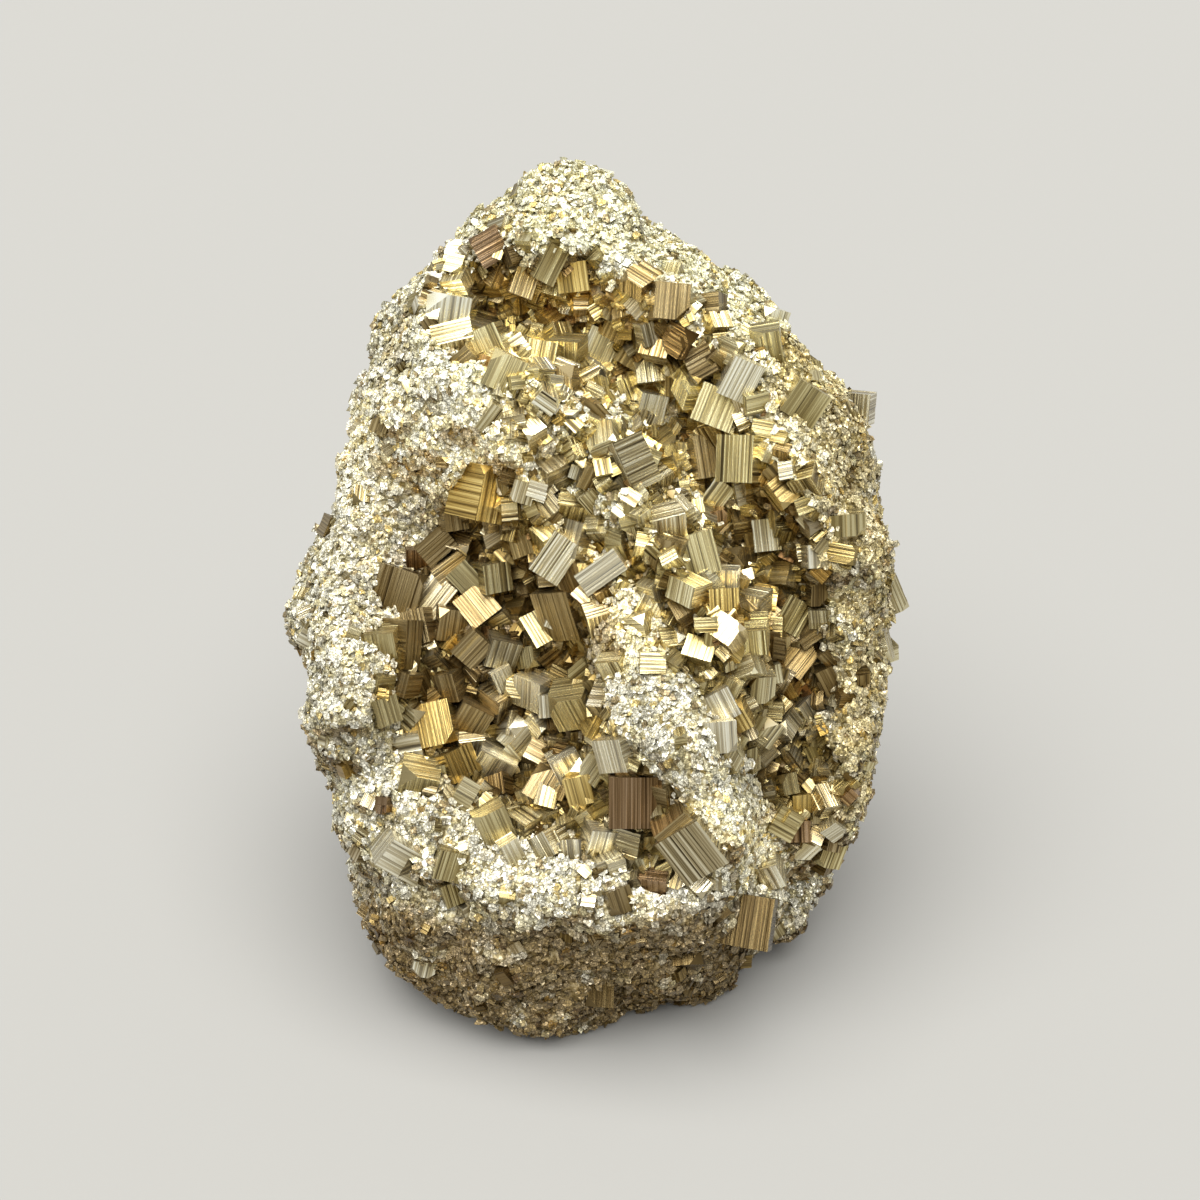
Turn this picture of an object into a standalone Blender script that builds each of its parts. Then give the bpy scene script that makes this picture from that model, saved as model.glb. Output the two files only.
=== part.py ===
"""Pyrite specimen: one lump of massive pyrite with striated cubes grown in its hollows.

The stone is a single natural piece. Its body is a stack of level slices, pushed in and out
by a few ridges and hollows on the sloping front, and broken up by lumps. The crystals are
fused to the body they grow from. Sizes are in millimetres; Blender gets metres.
The origin is on the floor under the middle of the stone, +X to its right, -Y to its front.
"""

import math
import random
from dataclasses import dataclass

import bmesh
import bpy
from mathutils import Matrix, Vector, noise
from mathutils.bvhtree import BVHTree

MM = 0.001
NODE = "pyrite_cluster"

# The front leans back. Ridges, hollows and crystals are laid out on the plane of that slope:
# across to the right and up the slope, in mm from SLOPE_MIDDLE.
SLOPE_LEAN = math.radians(27)
SLOPE_MIDDLE = Vector((0, 6, 68))
ACROSS = Vector((1, 0, 0))
UP_SLOPE = Vector((0, math.sin(SLOPE_LEAN), math.cos(SLOPE_LEAN)))
OUTWARD = Vector((0, -math.cos(SLOPE_LEAN), math.sin(SLOPE_LEAN)))
SLOPE_AXES = Matrix((ACROSS, -OUTWARD, UP_SLOPE)).transposed()
FRONT_FADE_START = -2  # relief fades in over this band of depth, in mm in front of the slope plane
FRONT_FADE_LENGTH = 14

BODY_SEGMENTS = 160
BODY_RINGS = 140
SLICE_SQUARENESS = 2.5  # 2 is an ellipse, larger is boxier
VOXEL = 2.0  # the body is first evened out at this grain
BODY_DETAIL = 0.115  # then this share of its faces is kept, as broken facets
BREAK_FLATNESS = 0.85  # 1 would leave a break perfectly flat before the lumps


@dataclass(frozen=True)
class Slice:
    """One level of the body: its height and how far it reaches to each side."""

    height: float
    left: float
    right: float
    front: float
    back: float


SLICES = (
    Slice(-6, -36, 20, -34, 30),
    Slice(0, -41, 28, -41, 36),
    Slice(12, -49, 41, -49, 45),
    Slice(26, -51, 49, -52, 50),
    Slice(40, -53, 54, -51, 53),
    Slice(56, -57, 56, -46, 55),
    Slice(74, -58, 55, -39, 56),
    Slice(92, -52, 55, -29, 54),
    Slice(108, -46, 51, -16, 51),
    Slice(120, -43, 37, -5, 47),
    Slice(130, -37, 23, 4, 42),
    Slice(138, -23, 9, 13, 37),
    Slice(144, -16, 5, 18, 34),
    Slice(148.5, -11, 0, 23, 29),
)


@dataclass(frozen=True)
class Fold:
    """A ridge (rise above 0) or a hollow (below 0) that follows a path on the slope."""

    name: str
    half_width: float
    rise: float
    path: tuple
    sharpness: float = 2.0


FOLDS = (
    Fold("front basin", 21, -17, ((-27, 7), (-20, 0), (-14, -7), (-18, -16)), 3),
    Fold("basin slope", 14, -4, ((-28, -25), (-7, -28))),
    Fold("long ridge", 10, 8, ((-32, 32), (-14, 22), (0, 7), (10, -11), (20, -29), (28, -43))),
    Fold("gutter", 7, -10, ((-7, 23), (-2, 14), (7, 2), (16, -11), (21, -18))),
    Fold("short ridge", 9, 6, ((-32, 48), (-14, 37), (2, 29), (14, 12), (25, 0), (28, -9))),
    Fold(
        "back valley",
        9,
        -17,
        ((-20, 54), (-5, 52), (9, 37), (18, 21), (28, 5), (34, -9), (35, -23), (34, -37), (36, -50)),
        3,
    ),
    Fold("hood", 8, 5, ((-23, 60), (-7, 62), (7, 59), (25, 48), (39, 32))),
    Fold("left wall", 8, 4, ((-45, 14), (-47, -4), (-45, -21))),
    Fold("right undercut", 8, -18, ((30, -68), (46, -62))),
    Fold("lip", 6, 4, ((-43, -46), (-21, -53), (0, -55), (18, -54), (29, -56))),
)


@dataclass(frozen=True)
class Break:
    """A flat face where the stone was broken off: the way it faces, and how far out it lies."""

    azimuth: float
    elevation: float
    distance: float


# Azimuth 0 faces the front, 90 the right and 180 the back.
BREAKS = (
    Break(176, 12, 44),
    Break(214, 15, 53),
    Break(140, -14, 49),
    Break(252, -10, 56),
    Break(98, 34, 64),
)
BREAK_MIDDLE = Vector((0, 6, 60))


@dataclass(frozen=True)
class Lump:
    """One size of lump on the body: how far apart, how high, and where its pattern starts."""

    spacing: float
    height: float
    start: Vector


LUMPS = (
    Lump(26, 4.0, Vector((0, -0.23, 0))),
    Lump(11, 2.8, Vector((7, 2.45, 1))),
    Lump(5, 1.6, Vector((1, 7.8, 4))),
)


def clear_scene():
    for obj in list(bpy.data.objects):
        bpy.data.objects.remove(obj)


def smooth_step(t):
    t = min(max(t, 0), 1)
    return t * t * (3 - 2 * t)


def through_points(before, start, end, after, t):
    """A smooth curve from start to end that also heeds the points either side."""
    return 0.5 * (
        2 * start
        + (end - before) * t
        + (2 * before - 5 * start + 4 * end - after) * t**2
        + (3 * start - before - 3 * end + after) * t**3
    )


def reach_at(height):
    """(left, right, front, back) of the body at a height between the lowest and highest slice."""
    upper = next((i for i, s in enumerate(SLICES) if s.height >= height), len(SLICES) - 1)
    upper = max(upper, 1)
    low, high = SLICES[upper - 1], SLICES[upper]
    before, after = SLICES[max(upper - 2, 0)], SLICES[min(upper + 1, len(SLICES) - 1)]
    t = (height - low.height) / (high.height - low.height)
    sides = ("left", "right", "front", "back")
    return [
        through_points(*(getattr(s, side) for s in (before, low, high, after)), t)
        for side in sides
    ]


def distance_to_path(point, path):
    """Distance on the slope from (across, up) to the nearest stretch of a path."""
    here = Vector(point)
    nearest = math.inf
    for start, end in zip(map(Vector, path), map(Vector, path[1:])):
        along = end - start
        t = min(max((here - start).dot(along) / along.length_squared, 0), 1)
        nearest = min(nearest, (here - start - along * t).length)
    return nearest


def relief(point):
    """How far the folds push a point of the body outward, in mm."""
    offset = point - SLOPE_MIDDLE
    depth = offset.dot(OUTWARD)
    fade = smooth_step((depth - FRONT_FADE_START) / FRONT_FADE_LENGTH)
    if fade == 0:
        return 0
    place = (offset.dot(ACROSS), offset.dot(UP_SLOPE))
    total = 0
    for fold in FOLDS:
        away = distance_to_path(place, fold.path) / fold.half_width
        total += fold.rise * math.exp(-(away**fold.sharpness))
    return total * fade


def broken_off(point):
    """The point, moved back nearly to a break where it lies beyond one."""
    for face in BREAKS:
        azimuth, elevation = math.radians(face.azimuth), math.radians(face.elevation)
        level = math.cos(elevation)
        facing = Vector(
            (math.sin(azimuth) * level, -math.cos(azimuth) * level, math.sin(elevation))
        )
        beyond = (point - BREAK_MIDDLE).dot(facing) - face.distance
        if beyond > 0:
            point = point - facing * beyond * BREAK_FLATNESS
    return point


def lumpiness(point):
    return sum(noise.noise(point / lump.spacing + lump.start) * lump.height for lump in LUMPS)


def body_mesh():
    """The body before its surface is evened out, in mm."""
    bm = bmesh.new()
    bmesh.ops.create_uvsphere(bm, u_segments=BODY_SEGMENTS, v_segments=BODY_RINGS, radius=1)
    bottom, top = SLICES[0].height, SLICES[-1].height
    for vert in bm.verts:
        way = vert.co.normalized()
        height = top - (top - bottom) * math.acos(min(max(way.z, -1), 1)) / math.pi
        left, right, front, back = reach_at(height)
        flat = Vector((way.x, way.y))
        if flat.length < 1e-6:
            flat = Vector((0, 0))
        else:
            flat.normalize()
            squareness = SLICE_SQUARENESS
            flat /= (abs(flat.x) ** squareness + abs(flat.y) ** squareness) ** (1 / squareness)
        vert.co = (
            (left + right) / 2 + flat.x * (right - left) / 2,
            (front + back) / 2 + flat.y * (back - front) / 2,
            height,
        )
    for vert in bm.verts:
        vert.co += OUTWARD * relief(vert.co)
        vert.co = broken_off(vert.co)
    bm.normal_update()
    for vert in bm.verts:
        vert.co += vert.normal * lumpiness(vert.co)
    bmesh.ops.recalc_face_normals(bm, faces=bm.faces)
    return bm


@dataclass(frozen=True)
class Crystal:
    """A cube on the slope: its place, its width and height, and its turns in degrees.

    Roll turns it in the slope, yaw about the line up the slope, pitch about the line across.
    """

    across: float
    up: float
    wide: float
    tall: float
    roll: float
    yaw: float
    pitch: float


FRONT_CRYSTALS = (
    Crystal(-21.5, 19.5, 8, 10, -8, 45, 5),
    Crystal(-37, 1.5, 9, 9, -18, -8, 5),
    Crystal(-34, 8.5, 5.5, 4, 4, 10, 25),
    Crystal(-30, 10.5, 5, 7, -50, 0, 15),
    Crystal(-27.5, 16, 4.5, 6, 10, 20, 10),
    Crystal(-28, 5.5, 6, 7, -55, 15, -10),
    Crystal(-24.5, 4.5, 5, 6, 40, -15, 10),
    Crystal(-20, 4.5, 5.5, 5.5, 12, 25, 15),
    Crystal(-30.5, 0.5, 6, 7, -38, -10, 0),
    Crystal(-23, -1.5, 6.5, 6.5, 38, 10, -5),
    Crystal(-28, -4, 5.5, 6, -5, 20, 15),
    Crystal(-33, -5, 5, 6.5, 15, -20, -5),
    Crystal(-36.5, -8, 4, 9, -4, 50, 0),
    Crystal(-39.5, -7.5, 6, 5, 5, -10, 20),
    Crystal(-23.5, -8.5, 5.5, 6, -42, 10, 10),
    Crystal(-18.5, -9, 6, 5.5, -12, 20, 20),
    Crystal(-6, -1.5, 8.5, 9.5, 3, -38, 22),
    Crystal(-12, -6, 4.5, 6.5, 28, 20, -10),
    Crystal(-8, 8.5, 6, 8.5, -32, 12, 15),
    Crystal(-4, 11, 5, 6.5, -20, -35, 10),
    Crystal(1, 5.5, 4.5, 9, -55, 0, 20),
    Crystal(-28, -15.5, 6, 5.5, 8, -25, 15),
    Crystal(-31, -23, 9, 8, 13, -6, -4),
    Crystal(-24, -21.5, 6.5, 6.5, -28, 12, 20),
    Crystal(-24.5, -26, 5, 4, 5, 20, 45),
    Crystal(-20, -30.5, 7.5, 7, -27, 10, 25),
    Crystal(-12, -16.5, 6, 6, -20, -30, 30),
    Crystal(-15, -24.5, 6, 6, -38, 10, 15),
    Crystal(-4.5, -18.5, 7.5, 7, 10, -25, 35),
    Crystal(-0.5, -21.5, 3.5, 6, -25, 20, 10),
    Crystal(-6, -30.5, 5.5, 6.5, 27, 5, 20),
    Crystal(-3, -35, 5, 7.5, 14, -12, 5),
    Crystal(6, -35, 9.2, 9, 0, 2, 4),
    Crystal(-10, -34, 6, 6.5, -30, -5, -5),
    Crystal(3.5, -26.5, 6.5, 6, 8, -42, 10),
    Crystal(16.5, -42, 9, 9.5, 33, -20, 12),
    Crystal(13, -38.5, 5, 7, -42, 25, 15),
    Crystal(-19.5, -40, 6, 6.5, 25, 10, 20),
    Crystal(-16, -45, 3.5, 6, 30, 15, 25),
    Crystal(-0.5, -42.5, 5, 6, -8, 20, 20),
    Crystal(-36, -46, 6, 9, 52, -8, 25),
    Crystal(-27, -47, 5.5, 5.5, -15, 15, 10),
    Crystal(9.5, -49.5, 5.5, 5, -4, -12, 35),
    Crystal(3, -52.5, 4.5, 4.5, 20, 20, 5),
    Crystal(-33, -32.5, 7, 6, -12, 10, 35),
    Crystal(-39.5, -20, 5, 5, 20, 30, 10),
    Crystal(-35.5, -15, 4.5, 4.5, -20, -30, 10),
    Crystal(-18.5, -14, 4, 4.5, 30, 15, 30),
    Crystal(-13, -10.5, 4, 4, 10, -30, 0),
)
RIDGE_CRYSTALS = (
    Crystal(-28.5, 52.5, 8, 8, -8, 12, 12),
    Crystal(-26.5, 47, 7.5, 5, 13, 0, 50),
    Crystal(-23, 51.5, 6, 5, -15, 20, 45),
    Crystal(-20, 46, 6.5, 7.5, 22, -12, 8),
    Crystal(-17, 40.5, 6.5, 6.5, -24, 10, 10),
    Crystal(-10.5, 45, 6, 5.5, -12, -10, 5),
    Crystal(-6, 45.5, 6, 8, -6, -15, 25),
    Crystal(-7.5, 39.5, 6.5, 5.5, 4, -15, 5),
    Crystal(0, 49, 6, 6, -22, 10, 15),
    Crystal(12.5, 53.5, 6.5, 6.5, -4, 8, 4),
    Crystal(9, 49, 4.2, 4.2, 20, 15, 20),
    Crystal(11, 46.5, 5.5, 5, -15, -20, -5),
    Crystal(9, 43, 5.5, 4.5, 8, 10, 0),
    Crystal(9, 37, 5.5, 5.5, -8, 20, 20),
    Crystal(25, 40.5, 6, 7.5, -22, 10, 25),
    Crystal(21.5, 35, 7.5, 7, -22, -6, 8),
    Crystal(20.5, 27, 7, 8, 10, 8, 4),
    Crystal(26.5, 25.5, 8, 8.5, -6, -38, 6),
    Crystal(5, 24, 6, 9.5, 18, -52, 8),
    Crystal(-9.5, 62, 4.2, 7, -24, 20, 10),
    Crystal(-14.5, 59, 4.5, 5, -18, 15, 5),
    Crystal(-8, 59, 5.5, 4.5, -16, -10, 0),
    Crystal(-4.5, 60.5, 6, 5.5, 4, -15, 18),
    Crystal(11.5, 13.5, 6.5, 5.5, 14, 10, 35),
    Crystal(16.5, 8, 7.5, 7.5, 16, 10, 4),
    Crystal(22, 3.5, 6, 5, -3, -10, 12),
    Crystal(21, 0, 5.5, 4, 3, 15, 0),
    Crystal(28, -1, 5.5, 6, -12, -25, 25),
    Crystal(26, -6, 7.5, 5, 3, -10, 30),
    Crystal(8.5, -0.5, 5, 5.5, -20, 15, 25),
    Crystal(20.5, -18.5, 6, 5.5, 28, 5, 10),
    Crystal(24, -20.5, 5, 5.5, 28, -15, 5),
    Crystal(20.5, -23.5, 5.8, 5.5, 5, 5, 4),
)
VALLEY_CRYSTALS = (
    Crystal(30, 46, 5.5, 6.5, 8, -10, 30),
    Crystal(36.5, 36, 7, 6.5, -30, 12, 15),
    Crystal(40, 47, 5, 5.5, -35, 10, 10),
    Crystal(33, 54, 5, 4.5, -10, 20, 15),
    Crystal(48.5, 36.5, 6.5, 6, -8, -20, 15),
    Crystal(31, 12.5, 5, 6, 6, -8, 10),
    Crystal(44.5, 14, 6.5, 4, 4, 0, 15),
    Crystal(39, 8, 4.2, 4.2, 4, 10, 5),
    Crystal(37, -10.5, 7, 7.5, -38, -6, -6),
    Crystal(35.5, -2.5, 5.5, 6.5, -28, 12, 5),
    Crystal(38.5, -38, 5.5, 3.5, 2, 10, 10),
    Crystal(37.5, -43.5, 4.8, 4, 2, -10, 0),
    Crystal(39.5, -47, 4.5, 5.5, -40, 10, 20),
    Crystal(44.5, -48.5, 5, 6, -10, 20, 20),
    Crystal(30.5, -50.5, 7, 5.5, 20, -15, 30),
    Crystal(27, -59, 10, 9.5, -8, -12, -8),
    Crystal(15.5, -65.5, 7, 4, 8, -10, -20),
    Crystal(-0.5, -73, 5, 4.5, -6, 15, -10),
    Crystal(-33, -68, 4.5, 3.5, -10, 10, 25),
    Crystal(-52, 14, 4.2, 4.2, -20, 30, 5),
    Crystal(-26.5, -52, 5, 4.5, 20, 15, 20),
)


@dataclass(frozen=True)
class Pocket:
    """A patch of small crystals: the middle and reach of the patch, seen from a direction."""

    azimuth: float
    height: float
    reach: float
    count: int
    smallest: float
    largest: float


POCKETS = (
    Pocket(5, 84, 17, 12, 3.5, 5.5),
    Pocket(-12, 62, 17, 10, 3.5, 5.5),
    Pocket(42, 60, 14, 8, 3.5, 5),
    Pocket(100, 62, 20, 6, 4, 6.5),
    Pocket(165, 88, 20, 7, 4, 7),
    Pocket(205, 42, 18, 5, 4, 6.5),
    Pocket(272, 70, 18, 5, 3, 4.5),
)
EYE_DISTANCE = 200
SEAT_DEPTH = 0.18  # share of a crystal's width that its middle lies below the surface
LEAST_STANDING = 3  # no crystal's middle is nearer than this to the floor
CORNERS_CUT = (0, 2)
CORNER_BITE = (0.12, 0.34)  # how far a corner is cut back, as a share of the way to the middle
SEED = 41

BRASS_YELLOW = (0.62, 0.49, 0.25, 1)
FLOOR_CUTTER_SIDE = 400


def crystal_mesh(wide, deep, tall, rng):
    """A cube with up to two corners cut off, in metres, about its middle."""
    bm = bmesh.new()
    bmesh.ops.create_cube(bm, size=1)
    size = Vector((wide, deep, tall)) * MM
    bmesh.ops.scale(bm, vec=size, verts=bm.verts)
    corners = rng.sample([(x, y, z) for x in (-1, 1) for y in (-1, 1) for z in (-1, 1)], 8)
    for corner in corners[: rng.randint(*CORNERS_CUT)]:
        facing = Vector(corner).normalized()
        tip = Vector(corner) * size / 2
        cut = bmesh.ops.bisect_plane(
            bm,
            geom=bm.verts[:] + bm.edges[:] + bm.faces[:],
            plane_co=tip * (1 - rng.uniform(*CORNER_BITE)),
            plane_no=facing,
            clear_outer=True,
        )
        rim = [e for e in cut["geom_cut"] if isinstance(e, bmesh.types.BMEdge)]
        bmesh.ops.edgeloop_fill(bm, edges=rim)
    bmesh.ops.recalc_face_normals(bm, faces=bm.faces)
    mesh = bpy.data.meshes.new("crystal")
    bm.to_mesh(mesh)
    bm.free()
    return mesh


def add_crystal(group, rng, seat, turn, wide, deep, tall):
    """One crystal as a helper that a Boolean fuses to the body. Seat is in mm."""
    obj = bpy.data.objects.new("crystal", crystal_mesh(wide, deep, tall, rng))
    obj.matrix_world = Matrix.Translation(seat * MM) @ turn.to_4x4()
    obj.hide_render = True
    obj.display_type = "WIRE"
    group.objects.link(obj)


def placed_crystals(group, surface):
    """The crystals with a place of their own on the front slope."""
    for number, crystal in enumerate(FRONT_CRYSTALS + RIDGE_CRYSTALS + VALLEY_CRYSTALS):
        rng = random.Random(SEED + number)
        on_slope = SLOPE_MIDDLE + ACROSS * crystal.across + UP_SLOPE * crystal.up
        hit = surface.ray_cast(on_slope + OUTWARD * EYE_DISTANCE, -OUTWARD)[0]
        if hit is None:
            continue
        deep = (crystal.wide + crystal.tall) / 2 * rng.uniform(0.9, 1.1)
        turn = (
            SLOPE_AXES
            @ Matrix.Rotation(math.radians(-crystal.roll), 3, "Y")
            @ Matrix.Rotation(math.radians(crystal.yaw), 3, "Z")
            @ Matrix.Rotation(math.radians(crystal.pitch), 3, "X")
        )
        seat = hit - OUTWARD * deep * SEAT_DEPTH
        add_crystal(group, rng, seat, turn, crystal.wide, deep, crystal.tall)


def pocket_crystals(group, surface):
    """The crystals that fill the pockets, each one at a place and turn of chance."""
    rng = random.Random(SEED)
    for pocket in POCKETS:
        azimuth = math.radians(pocket.azimuth)
        toward = Vector((math.sin(azimuth), -math.cos(azimuth), 0))
        beside = Vector((math.cos(azimuth), math.sin(azimuth), 0))
        for _ in range(pocket.count):
            distance = pocket.reach * math.sqrt(rng.random())
            bearing = rng.uniform(0, 2 * math.pi)
            aim = Vector((0, 0, pocket.height + distance * math.sin(bearing)))
            aim += beside * distance * math.cos(bearing)
            wide = rng.uniform(pocket.smallest, pocket.largest)
            deep = wide * rng.uniform(0.8, 1.1)
            tall = wide * rng.uniform(0.75, 1.2)
            axis = Vector([rng.gauss(0, 1) for _ in range(3)]).normalized()
            turn = Matrix.Rotation(rng.uniform(0, 2 * math.pi), 3, axis)
            hit, normal = surface.ray_cast(aim + toward * EYE_DISTANCE, -toward)[:2]
            if hit is None or hit.z < LEAST_STANDING + wide:
                continue
            add_crystal(group, rng, hit - normal * wide * SEAT_DEPTH, turn, wide, deep, tall)


def floor_cutter():
    """A block whose top is the floor: it cuts the flat face that the stone rests on."""
    bm = bmesh.new()
    bmesh.ops.create_cube(bm, size=FLOOR_CUTTER_SIDE * MM)
    mesh = bpy.data.meshes.new("floor_cutter")
    bm.to_mesh(mesh)
    bm.free()
    obj = bpy.data.objects.new("floor_cutter", mesh)
    obj.location.z = -FLOOR_CUTTER_SIDE * MM / 2
    obj.hide_render = True
    obj.display_type = "WIRE"
    bpy.context.scene.collection.objects.link(obj)
    return obj


def pyrite():
    material = bpy.data.materials.new("pyrite")
    material.use_nodes = True
    shader = material.node_tree.nodes["Principled BSDF"]
    shader.inputs["Base Color"].default_value = BRASS_YELLOW
    shader.inputs["Metallic"].default_value = 1
    shader.inputs["Roughness"].default_value = 0.35
    material.diffuse_color = BRASS_YELLOW
    return material


def build():
    clear_scene()
    bm = body_mesh()
    surface = BVHTree.FromBMesh(bm)
    bmesh.ops.scale(bm, vec=(MM, MM, MM), verts=bm.verts)
    mesh = bpy.data.meshes.new(NODE)
    bm.to_mesh(mesh)
    bm.free()
    mesh.materials.append(pyrite())
    stone = bpy.data.objects.new(NODE, mesh)
    bpy.context.scene.collection.objects.link(stone)

    crystals = bpy.data.collections.new("crystals")
    crystals.hide_render = True
    bpy.context.scene.collection.children.link(crystals)
    placed_crystals(crystals, surface)
    pocket_crystals(crystals, surface)

    evened = stone.modifiers.new("evened", "REMESH")
    evened.mode = "VOXEL"
    evened.voxel_size = VOXEL * MM
    facets = stone.modifiers.new("facets", "DECIMATE")
    facets.ratio = BODY_DETAIL
    grown = stone.modifiers.new("crystals", "BOOLEAN")
    grown.operation = "UNION"
    grown.operand_type = "COLLECTION"
    grown.collection = crystals
    rest = stone.modifiers.new("resting face", "BOOLEAN")
    rest.operation = "DIFFERENCE"
    rest.object = floor_cutter()


if __name__ == "__main__":
    build()
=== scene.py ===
"""Looks of the pyrite specimen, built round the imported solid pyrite_cluster.

The solid is one lump of massive pyrite with striated cubes grown in its hollows. Eight pieces
stand for it here, and all of them ride on its one body:

- rough_mass, the ground that shows in the gaps,
- striated_cubes, the large cubes, which the solid has too,
- mid_cubes and small_cubes, which crowd between the large ones,
- grains_front_left, grains_front_right, grains_back_left and grains_back_right, the grains
  that coat the mass everywhere.

Sizes are in millimetres and are turned to metres where a mesh is made. +X is the stone's
right, -Y its front, and the floor is at 0.
"""

import logging
import math
import random
from collections.abc import Sequence
from dataclasses import dataclass, field
from enum import Enum
from functools import cached_property
from typing import Any

import bmesh
import bpy
import numpy as np
from mathutils import Matrix, Vector, noise
from mathutils.bvhtree import BVHTree

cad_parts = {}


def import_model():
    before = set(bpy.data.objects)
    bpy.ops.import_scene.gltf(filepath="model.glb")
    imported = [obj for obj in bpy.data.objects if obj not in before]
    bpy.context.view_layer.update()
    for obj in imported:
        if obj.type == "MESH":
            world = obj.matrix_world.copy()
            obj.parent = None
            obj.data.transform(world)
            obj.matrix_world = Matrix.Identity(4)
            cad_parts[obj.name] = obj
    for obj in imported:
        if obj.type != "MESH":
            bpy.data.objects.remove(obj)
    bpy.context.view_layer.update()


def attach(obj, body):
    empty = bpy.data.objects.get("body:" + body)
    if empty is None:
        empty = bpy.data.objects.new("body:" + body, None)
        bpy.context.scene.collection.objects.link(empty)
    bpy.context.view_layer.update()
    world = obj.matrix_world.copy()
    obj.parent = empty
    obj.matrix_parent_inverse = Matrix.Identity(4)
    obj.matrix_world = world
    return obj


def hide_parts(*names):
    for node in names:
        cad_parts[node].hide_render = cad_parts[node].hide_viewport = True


LOG = logging.getLogger("pyrite")

MM = 0.001
NODE = "pyrite_cluster"
BODY = "root"
SEED = 41

# The front leans back. Hollows, ridges and cubes are laid out on the plane of that slope:
# across to the right and up the slope, in mm from SLOPE_MIDDLE.
SLOPE_LEAN = math.radians(27)
SLOPE_MIDDLE = Vector((0, 6, 68))
ACROSS = Vector((1, 0, 0))
UP_SLOPE = Vector((0, math.sin(SLOPE_LEAN), math.cos(SLOPE_LEAN)))
OUTWARD = Vector((0, -math.cos(SLOPE_LEAN), math.sin(SLOPE_LEAN)))
SLOPE_AXES = Matrix((ACROSS, -OUTWARD, UP_SLOPE)).transposed()
EYE_DISTANCE = 333  # from the middle of the slope to the eye, in mm
HOLLOW_DEPTH = 12  # a hollow this deep gets the whole hollow tint, darker and browner, in mm
RAGGED_PATCH = 4.5  # how far apart the patches of a darker strip's ragged edge lie, in mm
RAGGEDNESS = 1.2  # how much those patches strengthen or weaken a darker strip
OVERHANG_START, OVERHANG_GROWTH = 0.1, 1.8  # how painted shade darkens the stone where it faces down
CROWDED_FROM, CROWDED_FULL = -0.1, 0.3  # cubes crowd only the stone that faces the eye this far
RAY_START = 200  # how far outside its middle a ray towards the stone starts, in mm

TINY = 1e-6  # a length under this counts as nothing
FACE_SLACK = 1e-4  # a point this near to the plane of a cube's face lies in it, in mm
SITE_FLOOR = 1.3  # nothing grows nearer to the floor than this, in mm

STRIATION_UV = "striation"
UV_SPREAD = 400  # how far apart copies of one shape may lie in the growth lines' pattern, in mm
TONE_ATTRIBUTE = "tone"  # its colour is the metal's, its alpha how boldly the crystal is lined
LINE_STRENGTHS = (0.7, 1.0)  # that alpha, on the faintest and on the boldest crystal
PAINTED_SHADE_REACH = 1.6  # painted shade between the crystals reaches this high over the ground, in mm
PAINTED_SHADE_TINT = np.array((0.54, 0.48, 0.32))  # what this painted shade multiplies their colour by at the ground

FloatArray = np.ndarray
Span = tuple[float, float]  # the least and the most
Path = tuple[tuple[float, float], ...]
Tint = tuple[float, float, float]
Stops = tuple[tuple[float, str], ...]  # of a Color Ramp: a place from 0 to 1 and a hex colour


class Tone(Enum):
    """The metal's colour on one crystal, from bright clean pyrite to tarnished."""

    PALE = "#F1EEDB"
    BRASS = "#E5DEBC"
    GOLD = "#E8D08A"
    OLIVE = "#C8BE94"
    GREY = "#B0A992"
    BROWN = "#A08F69"
    BRONZE = "#9D8569"
    DARK = "#70603F"


def linear(colour: str) -> tuple[float, float, float, float]:
    """An sRGB hex colour as the linear RGBA that Blender's nodes take.

    Args:
        colour: A colour such as "#DCC68C".

    Returns:
        Red, green and blue from 0 to 1, and an alpha of 1.
    """
    channels = [int(colour[start : start + 2], 16) / 255 for start in (1, 3, 5)]
    curve = [c / 12.92 if c <= 0.04045 else ((c + 0.055) / 1.055) ** 2.4 for c in channels]
    return (*curve, 1.0)


def held(colours: FloatArray) -> FloatArray:
    """Colours, each dimmed until no channel is above 1, so that its hue stays."""
    brightest = np.maximum(colours[:, :3].max(axis=1, keepdims=True), 1)
    return np.concatenate([colours[:, :3] / brightest, colours[:, 3:]], axis=1)


def smooth_step(shares: FloatArray) -> FloatArray:
    """Shares held between 0 and 1, and eased at both ends."""
    shares = np.clip(shares, 0, 1)
    return shares * shares * (3 - 2 * shares)


def direction(azimuth: float, elevation: float = 0) -> Vector:
    """A direction from its angles in degrees.

    Args:
        azimuth: 0 is from the middle to the front, and 90 to the right.
        elevation: 0 is level, and 90 straight up.

    Returns:
        The direction, of length 1.
    """
    azimuth, elevation = math.radians(azimuth), math.radians(elevation)
    level = math.cos(elevation)
    return Vector((math.sin(azimuth) * level, -math.cos(azimuth) * level, math.sin(elevation)))


# The shape of the stone


@dataclass(frozen=True)
class Slice:
    """One level of the body: its height and how far it reaches to each side."""

    height: float
    left: float
    right: float
    front: float
    back: float


@dataclass(frozen=True)
class Strip:
    """A strip of the slope that follows a path and fades out from its middle."""

    name: str
    half_width: float
    path: Path
    sharpness: float = 2.0  # the higher, the flatter its middle and the steeper its edges

    def strengths(self, places: FloatArray) -> FloatArray:
        """How strongly the strip counts at each place.

        Args:
            places: Across and up the slope, in mm, n by 2.

        Returns:
            From 1 on the path down to 0 far from it.
        """
        nearest = np.full(len(places), np.inf)
        for start, end in zip(self.path, self.path[1:]):
            from_start, along = places - start, np.subtract(end, start)
            share = np.clip(from_start @ along / (along @ along), 0, 1)
            away = np.linalg.norm(from_start - share[:, None] * along, axis=1)
            nearest = np.minimum(nearest, away)
        return np.exp(-((nearest / self.half_width) ** self.sharpness))


@dataclass(frozen=True)
class Fold(Strip):
    """A ridge (rise above 0) or a hollow (below 0) of the slope."""

    rise: float = 0.0


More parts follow.
